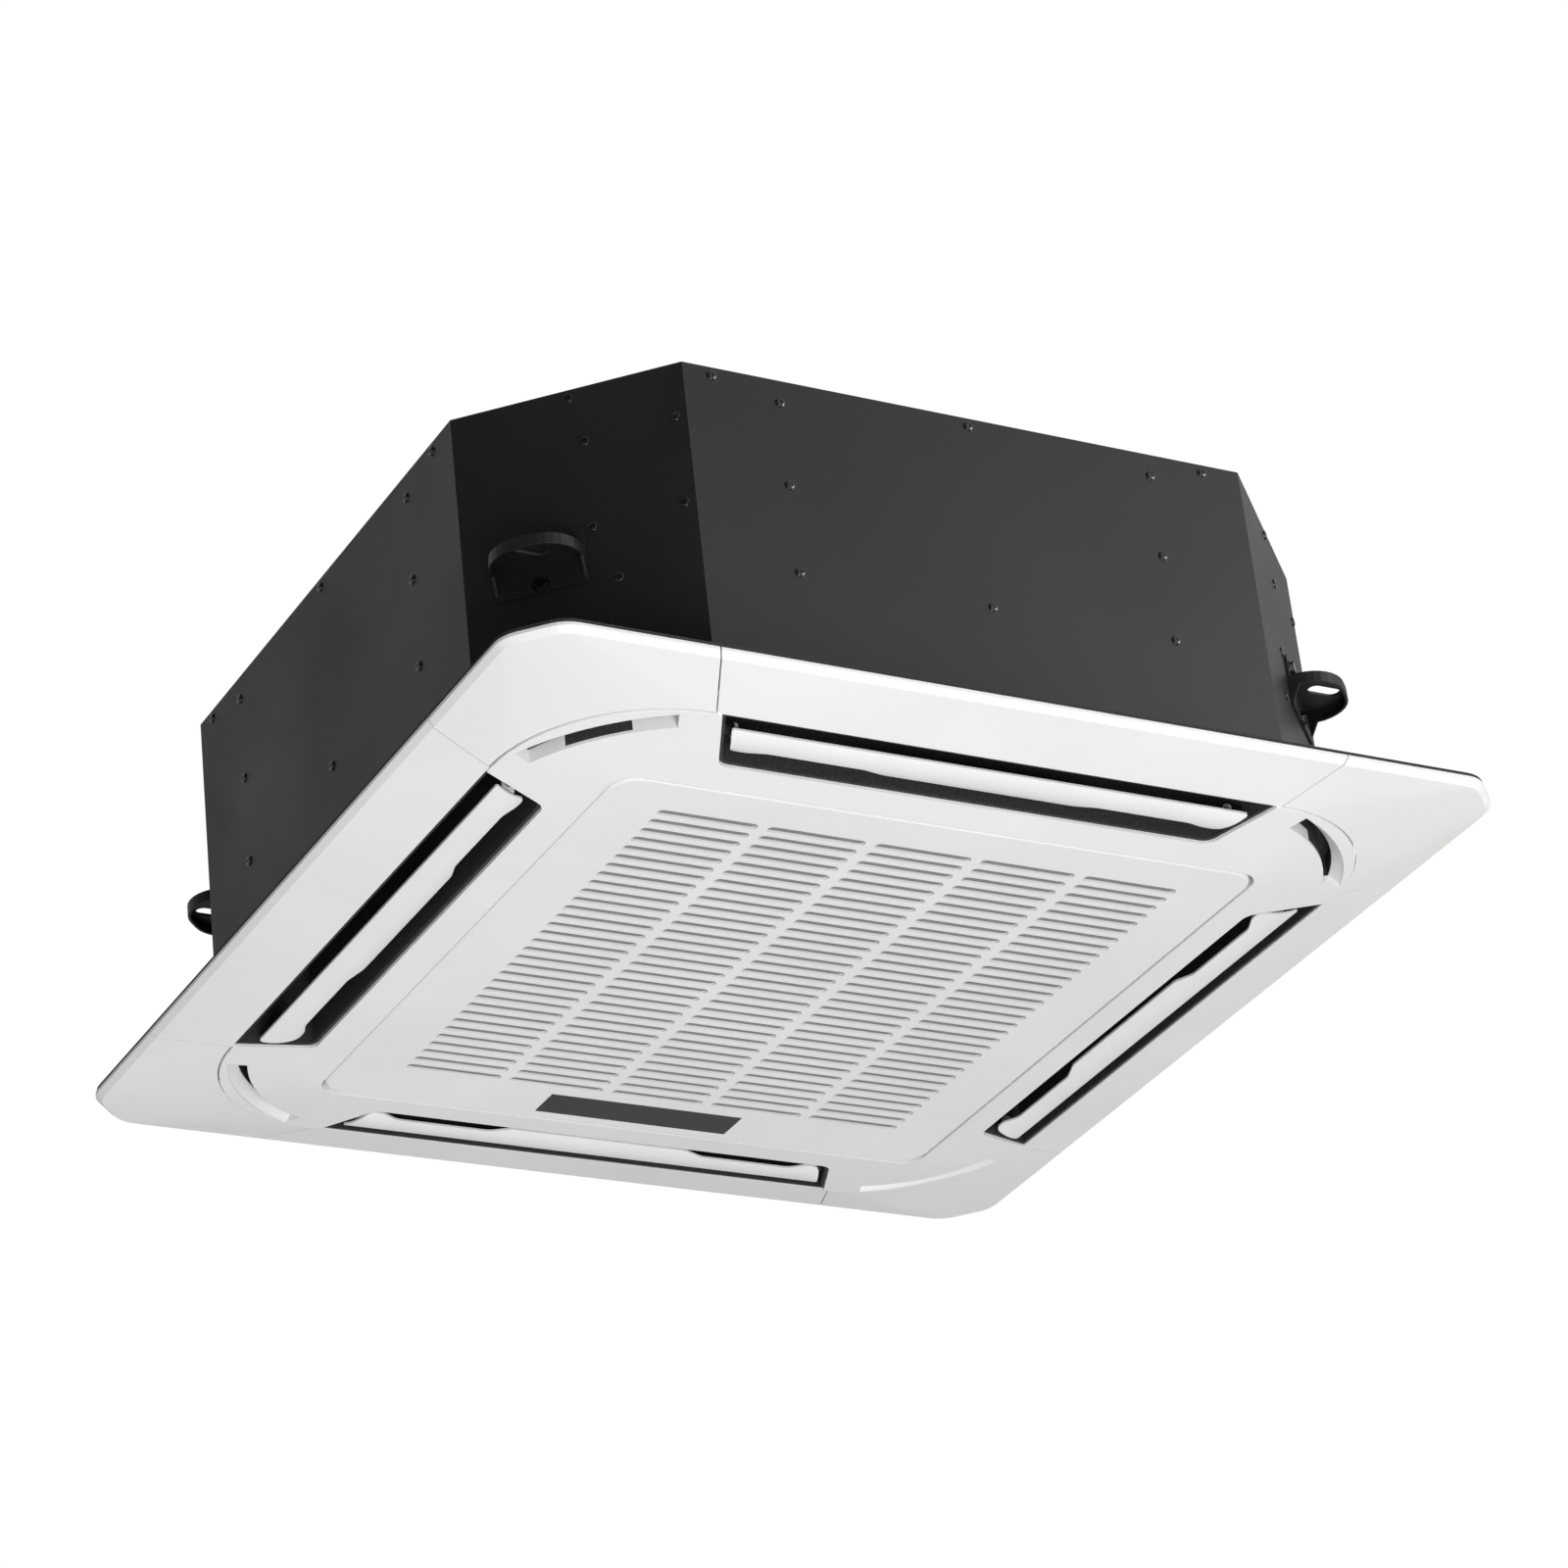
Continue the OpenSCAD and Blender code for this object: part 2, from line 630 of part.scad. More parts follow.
// Inlet ring: a flange under the pan and a flare up to the fan
bell_flange = 18;
bell_z = pan_z - fan_t;
bell_rise = 14;
bell_top_z = pan_top_z + bell_rise;
function bell_arc(r, from, to) = [for (i = [0:8]) let (a = from + (to - from) * i / 8)
    [throat_r + bell_c - r * cos(a), bell_z + bell_c - r * sin(a)]];
module bell_mouth() color(dark_plastic) rotate_extrude() polygon(concat(
    [[throat_r + bell_c + bell_flange, bell_z], [throat_r + bell_c + bell_flange, pan_z]],
    bell_arc(bell_c - fan_t, 90, 0), [[throat_r + fan_t, bell_top_z], [throat_r, bell_top_z]],
    bell_arc(bell_c, 0, 90)));

// Fan motor: hangs from the top plate on four rubbers
rubber_h = 6;
foot_t = 3;
foot_r = 10;
foot_out = 18;
foot_at = motor_r + foot_out;
motor_bolt_r = 2.5;
motor_top_z = roof_z - rubber_h;
motor_z = motor_top_z - motor_h;
shaft_in = 30;
module motor_feet() {
    quarter_turns() translate([foot_at, 0]) children();
}
module fan_motor() color(zinc) difference() {
    union() {
        disc(motor_r, motor_z, motor_top_z - foot_t / 2);
        disc(foot_at + foot_r, motor_top_z - foot_t, motor_top_z);
    }
    disc(shaft_r + run_gap, motor_z - over, motor_z + shaft_in + over);
    motor_feet() disc(motor_bolt_r + run_gap, motor_top_z - foot_t - over, motor_top_z + over);
}
module motor_rubbers() color(dark_foam) motor_feet()
    washer(foot_r - over, motor_bolt_r + run_gap, motor_top_z, roof_z);
module motor_bolts() color(zinc) motor_feet() {
    nut_z = motor_top_z - foot_t - 2 * motor_bolt_r;
    disc(motor_bolt_r, nut_z, top_z);
    disc(2 * motor_bolt_r, top_z, top_z + motor_bolt_r);
    hexagon(2 * motor_bolt_r, nut_z, motor_top_z - foot_t);
}

// Fan wheel: a hub disc with a dome round the motor, curved blades, and an inlet shroud
fan_lap = 8;
fan_gap = 3;
fan_z = bell_top_z - fan_lap;
fan_h = foam_z - fan_roof - fan_z;
fan_top_z = fan_z + fan_h;
inlet_r = throat_r + fan_t + fan_gap;
dome_gap = 8;
dome_r = motor_r + dome_gap;
dome_flare = 16;
floor_gap = 16;
floor_z = motor_z - floor_gap;
boss_r = 16;
boss_h = 8;
blade_in_share = 0.58;
blade_sweep = 42;
shroud_rise = 48;
lip_straight = 10;
function shroud_arc(t, from, to) = [for (i = [0:8]) let (a = from + (to - from) * i / 8)
    [inlet_r + t + (fan_r - inlet_r - t) * (1 - cos(a)), fan_z + lip_straight + (shroud_rise - t) * sin(a)]];
function blade_pt(s, side) = let (r0 = fan_r * blade_in_share, r = r0 + (fan_r - fan_t - r0) * s,
    a = side * fan_t * 90 / PI / r - blade_sweep * pow(s, 1.5)) r * [cos(a), sin(a)];
module fan_blade() {
    translate([0, 0, fan_z]) linear_extrude(fan_h)
        polygon([for (i = [0:8]) blade_pt(i / 8, 1), for (i = [8:-1:0]) blade_pt(i / 8, -1)]);
}
module fan_impeller() color(dark_plastic) difference() {
    union() {
        rotate_extrude() polygon([[0, floor_z - boss_h], [boss_r, floor_z - boss_h], [boss_r, floor_z],
            [dome_r + fan_t, floor_z], [dome_r + dome_flare, fan_top_z - fan_t], [fan_r, fan_top_z - fan_t],
            [fan_r, fan_top_z], [dome_r + dome_flare - fan_t, fan_top_z], [dome_r, floor_z + fan_t],
            [boss_r, floor_z + fan_t], [boss_r, floor_z + boss_h], [0, floor_z + boss_h]]);
        rotate_extrude() polygon(concat([[inlet_r, fan_z]], shroud_arc(0, 0, 90),
            shroud_arc(fan_t, 90, 0), [[inlet_r + fan_t, fan_z]]));
        intersection() {
            for (i = [0:blades - 1]) rotate(i * 360 / blades) fan_blade();
            rotate_extrude() polygon(concat(shroud_arc(fan_t / 2, 15, 90),
                [[fan_r, fan_top_z - fan_t / 2], [fan_r * blade_in_share, fan_top_z - fan_t / 2]]));
        }
    }
    disc(shaft_r + run_gap, floor_z - boss_h - over, floor_z + boss_h + over);
}
module fan_shaft() color(zinc) disc(shaft_r, floor_z - boss_h - 3 * shaft_r, motor_z + shaft_in);
module fan_nut() color(zinc) difference() {
    hexagon(2 * shaft_r, floor_z - boss_h - 2 * shaft_r, floor_z - boss_h);
    disc(shaft_r + run_gap, floor_z - boss_h - 2 * shaft_r - over, floor_z);
}

// Drain pump: stands in the sump on three feet, and lifts the water to the spout
pump_foot = 6;
pump_wall = 4;
pump_shaft_r = 2;
chamber_h = 26;
pump_z = sump_z + pump_foot;
pump_top_z = pump_z + pump_h;
riser_r = 9;
link_z = pump_top_z - 2 * riser_r;
pump_motor_h = 60;
spout_bore_share = 0.78;
spout_floor = 4;
module at_pump() {
    translate([pump_at, pump_at]) children();
}
module pump_housing() color(white_plastic) at_pump() difference() {
    union() {
        disc(pump_r, pump_z, pump_top_z);
        for (i = [0:2]) rotate(120 * i) translate([pump_r - 2 * pump_wall, 0])
            disc(pump_wall, sump_z, pump_z + over);
    }
    disc(pump_r - pump_wall, pump_z + pump_wall, pump_z + pump_wall + chamber_h);
    disc(pump_r / 3, pump_z - over, pump_z + pump_wall + over);
    disc(pump_shaft_r + run_gap, pump_z, pump_top_z + over);
}
module pump_motor() color(dark_plastic) at_pump() difference() {
    union() {
        disc(pump_r - pump_foot, pump_top_z, pump_top_z + pump_motor_h);
        disc(pump_r, pump_top_z, pump_top_z + pump_wall);
    }
    disc(pump_shaft_r + run_gap, pump_top_z - over, pump_top_z + pump_motor_h / 2);
}
module pump_impeller() color(white_plastic) at_pump() {
    z = pump_z + pump_wall + chamber_h / 3;
    r = pump_r - 2 * pump_wall;
    disc(r, z, z + pump_shaft_r);
    disc(pump_shaft_r, z - pump_shaft_r, pump_top_z + pump_motor_h / 3);
    for (a = [0, 90]) rotate(a) block([-r, -over, z + over], [r, over, z + chamber_h / 3]);
}
module drain_spout() color(white_plastic) difference() {
    union() {
        translate([pump_at, riser_y]) disc(riser_r, link_z - riser_r, drain_z + riser_r);
        translate([pump_at, 0, link_z]) rod_y(riser_r, riser_y, pump_at);
        translate([0, riser_y, drain_z]) rod_x(riser_r, pump_at, half_w);
        translate([0, riser_y, drain_z]) rod_x(drain_r * neck_share, half_w - liner_t, half_w + spout_floor);
        translate([0, riser_y, drain_z]) rod_x(drain_r, half_w + over, half_w + pipe_out);
    }
    at_pump() disc(pump_r + snug, pump_z - over, pump_top_z + over);
    translate([0, riser_y, drain_z])
        rod_x(drain_r * spout_bore_share, half_w + spout_floor, half_w + pipe_out + over);
}

// Float switch: the float slides on a guide that stands in the gutter
guide_gap = 56;
guide_x = coil_stop + guide_gap;
guide_r = 3;
float_r = 11;
float_h = 14;
foot_disc_t = 2;
float_z = gutter_z + foot_disc_t + snug;
float_top_z = float_z + float_h + float_travel;
module at_guide() {
    translate([guide_x, (tube_in + tube_out) / 2]) children();
}
module float_guide() color(dark_plastic) at_guide() {
    disc(float_r, gutter_z, gutter_z + foot_disc_t);
    disc(guide_r, gutter_z, float_top_z + float_h);
    disc(float_r, float_top_z + over, float_top_z + float_h);
}
module float() color(white_plastic) at_guide()
    washer(float_r, guide_r + run_gap, float_z, float_z + float_h);

// Control box: hangs under the pan beside the inlet ring, with a lid below
box_gap = 7;
box_x = hole_half - inner_flange - box_side;
box_w = box_x - throat_r - bell_c - bell_flange - box_gap;
board_inset = 3;
board_t = 1.6;
peg_r = 2.5;
peg_l = 6;
terminal_l = 56;
box_z = pan_z - box_h;
box_roof_z = pan_z - box_t;
board_z = box_roof_z - peg_l;
board_ys = [terminal_l + 4 * board_inset - box_l / 2, box_l / 2 - 2 * board_inset];
module box_shape(inset, z0, z1) {
    block([inset - box_x, inset - box_l / 2, z0], [box_w - box_x - inset, box_l / 2 - inset, z1]);
}
module control_box() color(zinc) {
    difference() {
        box_shape(0, box_z, pan_z);
        box_shape(box_t, box_z - over, box_roof_z);
    }
    for (x = [peg_r + board_inset, box_w - peg_r - board_inset], y = [board_ys[0] + peg_r, board_ys[1] - peg_r])
        translate([x - box_x, y]) disc(peg_r, board_z, pan_z - box_t / 2);
}
module control_cover() color(zinc) {
    box_shape(0, box_z - box_t, box_z);
    difference() {
        box_shape(box_t + snug, box_z - box_t / 2, box_z + board_inset);
        box_shape(2 * box_t + snug, box_z - box_t, box_z + 2 * board_inset);
    }
}
module circuit_board() color(board_green) block([board_inset - box_x, board_ys[0], board_z - board_t],
    [box_w - board_inset - box_x, board_ys[1], board_z]);
module terminal_block() color(dark_plastic) {
    y = 2 * board_inset - box_l / 2;
    block([2 * board_inset - box_x, y, box_roof_z - box_h / 2],
        [box_w / 2 - box_x, y + terminal_l, box_roof_z]);
}
gland_r = 10;
gland_l = 16;
gland_x = 200;
gland_share = 0.26;
nut_share = 1.4;
cap_share = 1.2;
cap_l = 13;
gland_bore_share = 0.6;
module gland_place() {
    translate([-gland_x, half_w, gutter_z + gland_share * coil_h]) rotate([-90, 0, 0]) children();
}
module cable_gland() color(dark_plastic) gland_place() difference() {
    union() {
        disc(gland_r, -gland_l, gland_r);
        hexagon(gland_r * nut_share, 0, gland_r / 2);
        disc(gland_r * cap_share, gland_r / 2, cap_l);
    }
    disc(gland_r * gland_bore_share, -gland_l - over, cap_l + over);
}

// Panel: two shallow bowls, the outer band up to the rim, and the ring down to the grille
module outer_bowl(inset) hull() {
    prism(rim_pts(inset), rim_z - rim_h + rim_bevel, rim_z + inset);
    prism(rim_pts(rim_bevel + inset), rim_z - rim_h, rim_z - rim_h + thin);
    prism(ring_pts(0), ring_z, ring_z + thin);
}
module ring_bowl() hull() {
    prism(ring_pts(0), ring_z - ring_lip, ring_z);
    prism(round_box(hole_half, hole_r), face_z, face_z + thin);
}
// The panel's corner at -X, -Y outside the ring, made larger by a margin
module corner_prism(g, ring_inset) {
    lean = (cover_out - cover_in) / (panel_w / 2 - ring_half);
    a = cover_in - g;
    b = cover_out - g + lean * gasket_w;
    far = panel_w / 2 + gasket_w;
    translate([0, 0, face_z - over]) linear_extrude(face_drop + 2 * over) difference() {
        polygon([[0, 0], [-a, -ring_half], [-b, -far], [-far, -far], [-far, -b], [-ring_half, -a]]);
        polygon(ring_pts(ring_inset));
    }
}
// The corner air slot at -X, -Y: a bent strip between two radii over a share of the slot's angle
slot_r = (ring_half - ring_r - slot_centre) * root2 + ring_r - slot_land;
slot_in = slot_r - slot_w;
slot_top_z = ring_z - ring_lip + slot_depth;
open_share = 0.44;
cap_wall = 3;
module slot_strip(r0, r1, g, share) {
    half = slot_angle * share;
    translate([-slot_centre, -slot_centre]) rotate(225) intersection() {
        difference() {
            circle(r1);
            circle(r0);
        }
        translate([-g / sin(half), 0])
            polygon(2 * r1 * [[0, 0], [cos(half), sin(half)], [cos(half), -sin(half)]]);
    }
}
module corner_slot(g) {
    slot_strip(slot_in - g, slot_r + g, g, 1);
}
module cap_strip(g) {
    slot_strip(slot_in - g, slot_r - slot_lean + g, g, 1);
}
// The slot's hollow in the frame, upright on the inner side and leaning in on the outer side
module slot_hollow() {
    lean_r = slot_r - slot_lean;
    translate([-slot_centre, -slot_centre]) rotate(225 - slot_angle) rotate_extrude(angle = 2 * slot_angle)
        polygon([[slot_in, face_z - over], [slot_r, face_z - over], [slot_r, ring_z - ring_lip],
            [lean_r, slot_top_z], [lean_r, slot_top_z + over], [slot_in, slot_top_z + over]]);
}
// Plan of the walls round a slot, left open in the middle of its inner side
module slot_walls() {
    difference() {
        corner_slot(skin_t);
        slot_strip(slot_in - cap_wall - snug, slot_in + over, snug, open_share);
    }
}
seat_side = 5.5;
seat_l = 9;
seat_end = outlet_end(pivot_at, 0) + seat_l;
module at_pivot() {
    translate([0, -pivot_at, rim_z - pivot_drop]) children();
}

// Corners of the frame: an ear behind each corner cover, with a pillar up to the casing's tab
ear_w = 68;
ear_l = 34;
cover_peg_x = 26;
cover_peg_r = 3;
ring_diag = (ring_half - ring_r) * root2 + ring_r;
screw_diag = cut_at + tab_screw;
module cover_pegs() {
    rotate(-45) pair_x() translate([cover_peg_x, -screw_diag]) children();
}
module corner_ear() {
    difference() {
        rotate(-45) {
            block([-ear_w / 2, -ring_diag - ear_l, rim_z - skin_t], [ear_w / 2, -ring_diag + ear_l, rim_z]);
            translate([0, -screw_diag]) disc(3 * panel_screw_r, rim_z - skin_t, casing_z);
        }
        prism(ring_pts(skin_t), rim_z - 2 * skin_t, rim_z + over);
        rotate(-45) translate([0, -screw_diag]) disc(panel_screw_r + run_gap, face_z, casing_z + over);
        cover_pegs() disc(cover_peg_r + run_gap, face_z, casing_z);
    }
}

// Hinges at the +Y edge of the opening
inner_flange_t = 3;
lug_w = 8;
lug_r = 4;
knuckle_w = 5;
hinge_y = grille_half - hinge_in;
hinge_z = face_z + hinge_up;
module at_hinges() {
    pair_x() translate([hinge_x, hinge_y, hinge_z]) children();
}
module hinge_lug() {
    difference() {
        union() {
            rod_x(lug_r, -lug_w / 2, lug_w / 2);
            block([-lug_w / 2, -lug_r, 0], [lug_w / 2, lug_r, rim_z - 2 * over - hinge_z]);
        }
        rod_x(hinge_r + run_gap, -lug_w, lug_w);
    }
}
// Plan of the upright walls on the back of the frame
module frame_walls() {
    quarter_turns() {
        polygon(outlet_pts(skin_t));
        pair_x() translate([outlet_half_in, -pivot_at - bush_r - seat_side])
            square([seat_end - outlet_half_in, 2 * (bush_r + seat_side)]);
    }
    ring_2d(ring_pts(0), ring_pts(skin_t));
    ring_2d(round_box(hole_half + skin_t, hole_r + skin_t), round_box(hole_half, hole_r));
}
module frame_cuts() {
    quarter_turns() {
        prism(outlet_pts(snug), face_z - over, rim_z + over);
        slot_hollow();
        at_pivot() pair_x() rod_x(bush_r + run_gap, outlet_half_in - outlet_r, seat_end + over);
    }
    prism(round_box(hole_half, hole_r), face_z - over, rim_z - over - inner_flange_t);
}
module panel_frame() color(white_plastic) {
    difference() {
        union() {
            difference() {
                union() {
                    outer_bowl(0);
                    ring_bowl();
                }
                difference() {
                    translate([0, 0, skin_t]) {
                        outer_bowl(skin_t);
                        ring_bowl();
                    }
                    translate([0, 0, face_z]) linear_extrude(face_drop - over) frame_walls();
                    quarter_turns() translate([0, 0, face_z])
                        linear_extrude(slot_top_z - face_z) slot_walls();
                }
            }
            band(rim_pts(over), rim_pts(gasket_w + over), rim_z - skin_t, rim_z);
            band(round_box(hole_half + over, hole_r + over), round_box(hole_half - inner_flange, grille_r),
                rim_z - over - inner_flange_t, rim_z - over);
        }
        quarter_turns() corner_prism(seam_w, 0);
        frame_cuts();
    }
    quarter_turns() corner_ear();
    at_hinges() hinge_lug();
}
module corner_cover(i) color(white_plastic) rotate(90 * i) {
    intersection() {
        union() {
            difference() {
                outer_bowl(0);
                translate([0, 0, skin_t]) outer_bowl(skin_t);
            }
            band(rim_pts(over), rim_pts(gasket_w + over), rim_z - skin_t, rim_z);
        }
        corner_prism(0, -seam_w);
    }
    cover_pegs() disc(cover_peg_r, ring_z + skin_t, rim_z);
}
module corner_cover_1() corner_cover(0);
module corner_cover_2() corner_cover(1);
module corner_cover_3() corner_cover(2);
module corner_cover_4() corner_cover(3);
module panel_gasket() color(dark_foam)
    band(rim_pts(over), rim_pts(gasket_w + over), rim_z, rim_z + gasket_t);
module panel_screws() color(zinc) quarter_turns() rotate(-45) translate([0, -screw_diag]) {
    disc(panel_screw_r, rim_z - skin_t, pan_z + 2 * panel_screw_r);
    disc(2 * panel_screw_r, rim_z - skin_t - panel_screw_r, rim_z - skin_t);
}

// Foam ducts through the panel and the pan, and foam caps over the corner air slots
module above_skin() {
    translate([0, 0, skin_t]) ring_bowl();
    prism(ring_pts(-over), ring_z + skin_t - thin, pan_top_z);
}
module outlet_ducts() color(dark_foam) {
    intersection() {
        quarter_turns() {
            difference() {
                band(outlet_pts(0), outlet_pts(-duct_t), face_z, pan_top_z);
                at_pivot() pair_x() rod_x(bush_r + snug, outlet_half_in - outlet_r, outlet_half);
            }
            translate([0, 0, face_z]) linear_extrude(slot_top_z - face_z + over)
                slot_strip(slot_in - cap_wall, slot_in, 0, open_share);
        }
        above_skin();
    }
    quarter_turns() difference() {
        translate([0, 0, slot_top_z]) linear_extrude(casing_z - slot_top_z) cap_strip(cap_wall);
        translate([0, 0, slot_top_z - over])
            linear_extrude(casing_z - slot_top_z + over - cap_wall) cap_strip(0);
    }
}

// Louvers: curved vanes with two ears that turn on pins in the duct's end walls
vane_mid = vane_out - vane_w / 2;
vane_radius = (vane_w * vane_w / 4 + vane_bow * vane_bow) / (2 * vane_bow);
vane_z = rim_z - vane_drop - vane_bow;
vane_end = -duct_t - vane_gap;
wide_share = 0.365;
waist_share = 0.448;
waist_in = 30;
bulge_in = 13.5;
vane_tip_r = 2;
vane_end_r = 10;
vane_curve_r = 26;
foot_height_share = 0.7;
ear_t = 3;
ear_r = 5.5;
ear_foot = 8;
ear_gap = 5;
ear_at = outlet_end(pivot_at - ear_foot, -duct_t) - ear_gap;
// Half the turn of a vane's curve, with a little more than its width, and the curve in steps
vane_turn = asin((vane_w + vane_t) / 2 / vane_radius);
function vane_arc(r, way) = [for (i = [-6:6]) let (a = way * vane_turn * i / 6)
    [r * sin(a) - vane_mid, vane_z + vane_radius - r * cos(a)]];
module vane_outline() {
    far = vane_out - vane_w;
    near = vane_out - vane_waist;
    l = outlet_end(vane_out, vane_end);
    far_l = outlet_end(far, vane_end);
    right = [[l, -vane_out], [far_l, -far], [far_l - bulge_in, -far], [far_l - waist_in, -near],
        [waist_share * l, -near], [wide_share * l, -far]];
    radii = [vane_tip_r, vane_end_r, for (i = [0:3]) vane_curve_r];
    polygon(rounded([each right, for (i = [5:-1:0]) [-right[i][0], right[i][1]]],
        [each radii, for (i = [5:-1:0]) radii[i]], 6));
}
module louver(i) color(white_plastic) rotate(90 * i) {
    intersection() {
        translate([0, 0, vane_z - over]) linear_extrude(vane_bow + vane_t + 2 * over) vane_outline();
        translate([-outlet_half, 0, 0]) rotate([90, 0, 90]) linear_extrude(2 * outlet_half)
            polygon(concat(vane_arc(vane_radius, -1), vane_arc(vane_radius - vane_t, 1)));
    }
    at_pivot() pair_x() {
        z = vane_z + vane_t * foot_height_share - rim_z + pivot_drop;
        translate([ear_at - ear_t, 0, 0]) rotate([90, 0, 90]) linear_extrude(ear_t) {
            circle(ear_r);
            polygon([[-ear_foot, z], [ear_foot / 2, z], [ear_r, 0], [-ear_r, 0]]);
        }
        rod_x(pivot_r, ear_at - over, seat_end - snug);
    }
}
module louver_front() louver(0);
module louver_right() louver(1);
module louver_back() louver(2);
module louver_left() louver(3);
module louver_bushes() color(dark_plastic) quarter_turns() at_pivot() pair_x() difference() {
    rod_x(bush_r, ear_at + over, seat_end);
    rod_x(pivot_r + run_gap, ear_at, seat_end + over);
}
step_plate_t = 1.5;
plug_share = 0.8;
plug_high_share = 1.15;
module louver_motor(i) color(zinc) rotate(90 * i) at_pivot() {
    rod_x(step_r, seat_end, seat_end + step_l);
    block([seat_end, -step_r, -step_r], [seat_end + step_plate_t, step_r, step_r]);
    block([seat_end + over, -step_r / 2, 0],
        [seat_end + step_l * plug_share, step_r / 2, step_r * plug_high_share]);
}
module louver_motor_front() louver_motor(0);
module louver_motor_right() louver_motor(1);
module louver_motor_back() louver_motor(2);
module louver_motor_left() louver_motor(3);

// Intake grille: a slotted plate with a rib round it, hinged along its +Y edge
grille_rib = 8;
rib_t = 2.5;
notch_half = lug_w / 2 + knuckle_w + 2 * snug + over;
window_out = window_in + window_w;
filter_side = 49;
filter_front = 34;
filter_back = 8;
filter_x = grille_half - filter_side;
filter_ys = [filter_front - grille_half, window_in - filter_back];
clip_w = 30;
clip_t = 3;
air_slot_l = (2 * (grille_half - slots_side) - (slot_cols - 1) * slot_bar) / slot_cols;
col_pitch = air_slot_l + slot_bar;
first_row = grille_half - slots_front;
row_pitch = (window_in - slots_back + first_row) / (slot_rows - 1);
module grille_slots() {
    for (i = [0:slot_cols - 1], j = [0:slot_rows - 1])
        translate([(i - (slot_cols - 1) / 2) * col_pitch, j * row_pitch - first_row])
            stadium(air_slot_l, air_slot_w);
}
module window_shape(g, z0, z1) {
    block([-window_half - g, window_in - g, z0], [window_half + g, window_out + g, z1]);
}
module grille_plate() hull() {
    prism(round_box(grille_half, grille_r), face_z + grille_edge, plate_z);
    prism(round_box(grille_half - grille_edge / 3, grille_r), face_z + grille_edge / 3, plate_z);
    prism(round_box(grille_half - grille_edge, grille_r), face_z, plate_z);
}
module knuckle() {
    difference() {
        union() {
            rod_x(lug_r, 0, knuckle_w);
            block([0, -lug_r, plate_z - hinge_z - over], [knuckle_w, lug_r, 0]);
        }
        rod_x(hinge_r + run_gap, -over, knuckle_w + over);
    }
}
module filter_clip() {
    h = filter_t + snug + rib_t;
    block([0, -clip_w / 2, -over], [clip_t, clip_w / 2, h]);
    block([-clip_t, -clip_w / 2, filter_t + snug], [clip_t, clip_w / 2, h]);
}
module grille() color(white_plastic) {
    difference() {
        union() {
            grille_plate();
            difference() {
                band(round_box(grille_half, grille_r), round_box(grille_half - rib_t, grille_r - rib_t),
                    plate_z - thin, plate_z + grille_rib);
                pair_x() block([hinge_x - notch_half, 0, plate_z], [hinge_x + notch_half, panel_w, rim_z]);
            }
        }
        translate([0, 0, face_z - over]) linear_extrude(skin_t + 2 * over) grille_slots();
        window_shape(snug, face_z - over, plate_z + over);
    }
    at_hinges() for (x = [lug_w / 2 + snug, -lug_w / 2 - snug - knuckle_w]) translate([x, 0, 0]) knuckle();
    pair_x() pair_y() translate([filter_x + snug, filter_x / 2, plate_z]) filter_clip();
}
module hinge_pins() color(zinc) at_hinges()
    rod_x(hinge_r, -lug_w / 2 - snug - knuckle_w, lug_w / 2 + snug + knuckle_w);
catch_w = 16;
catch_t = 2;
catch_h = 17;
catch_nib = 3;
module grille_catches() color(dark_plastic) pair_x()
    translate([hinge_x - catch_w / 2, rib_t + snug - grille_half, plate_z]) {
        cube([catch_w, 4 * catch_t, catch_t]);
        cube([catch_w, catch_t, catch_h]);
        translate([0, -catch_nib, catch_h - 2 * catch_t]) cube([catch_w, catch_nib + catch_t, 2 * catch_t]);
    }
filter_border = 8;
filter_mesh_t = 1;
filter_cols = 5;
filter_rows = 4;
module air_filter() color(filter_grey) translate([0, 0, plate_z]) difference() {
    block([-filter_x, filter_ys[0], 0], [filter_x, filter_ys[1], filter_t]);
    cell_w = (2 * filter_x - filter_border) / filter_cols;
    cell_h = (filter_ys[1] - filter_ys[0] - filter_border) / filter_rows;
    for (i = [0:filter_cols - 1], j = [0:filter_rows - 1]) translate([filter_border - filter_x + i * cell_w,
        filter_border + filter_ys[0] + j * cell_h, filter_mesh_t])
        cube([cell_w - filter_border, cell_h - filter_border, filter_t]);
}

// Receiver: a smoked window flush with the grille, a board behind it, and its housing
receiver_h = 14;
receiver_wall = 4;
receiver_roof_z = plate_z + receiver_h - rib_t;
module display_window() color(smoked) window_shape(0, face_z, plate_z);
module receiver_housing() color(dark_plastic) difference() {
    window_shape(receiver_wall, plate_z, plate_z + receiver_h);
    window_shape(-receiver_wall / 2, plate_z - over, receiver_roof_z);
}
module receiver_board() color(board_green)
    window_shape(-receiver_wall / 2 - snug, receiver_roof_z - board_t, receiver_roof_z);

top_plate();
side_panel_front();
side_panel_right();
side_panel_back();
side_panel_left();
side_insulation();
top_insulation();
hanger_brackets();
bracket_bolts();
casing_screws();
pipe_plate();
heat_exchanger();
coil_end_plates();
coil_bends();
gas_pipe();
liquid_pipe();
flare_nuts();
drain_pan();
bell_mouth();
fan_motor();
motor_rubbers();
motor_bolts();
fan_shaft();
fan_impeller();
fan_nut();
pump_housing();
pump_motor();
pump_impeller();
drain_spout();
float_guide();
float();
control_box();
control_cover();
circuit_board();
terminal_block();
cable_gland();
panel_frame();
corner_cover_1();
corner_cover_2();
corner_cover_3();
corner_cover_4();
panel_gasket();
outlet_ducts();
panel_screws();
louver_front();
louver_right();
louver_back();
louver_left();
louver_motor_front();
louver_motor_right();
louver_motor_back();
louver_motor_left();
louver_bushes();
grille();
hinge_pins();
grille_catches();
air_filter();
display_window();
receiver_board();
receiver_housing();
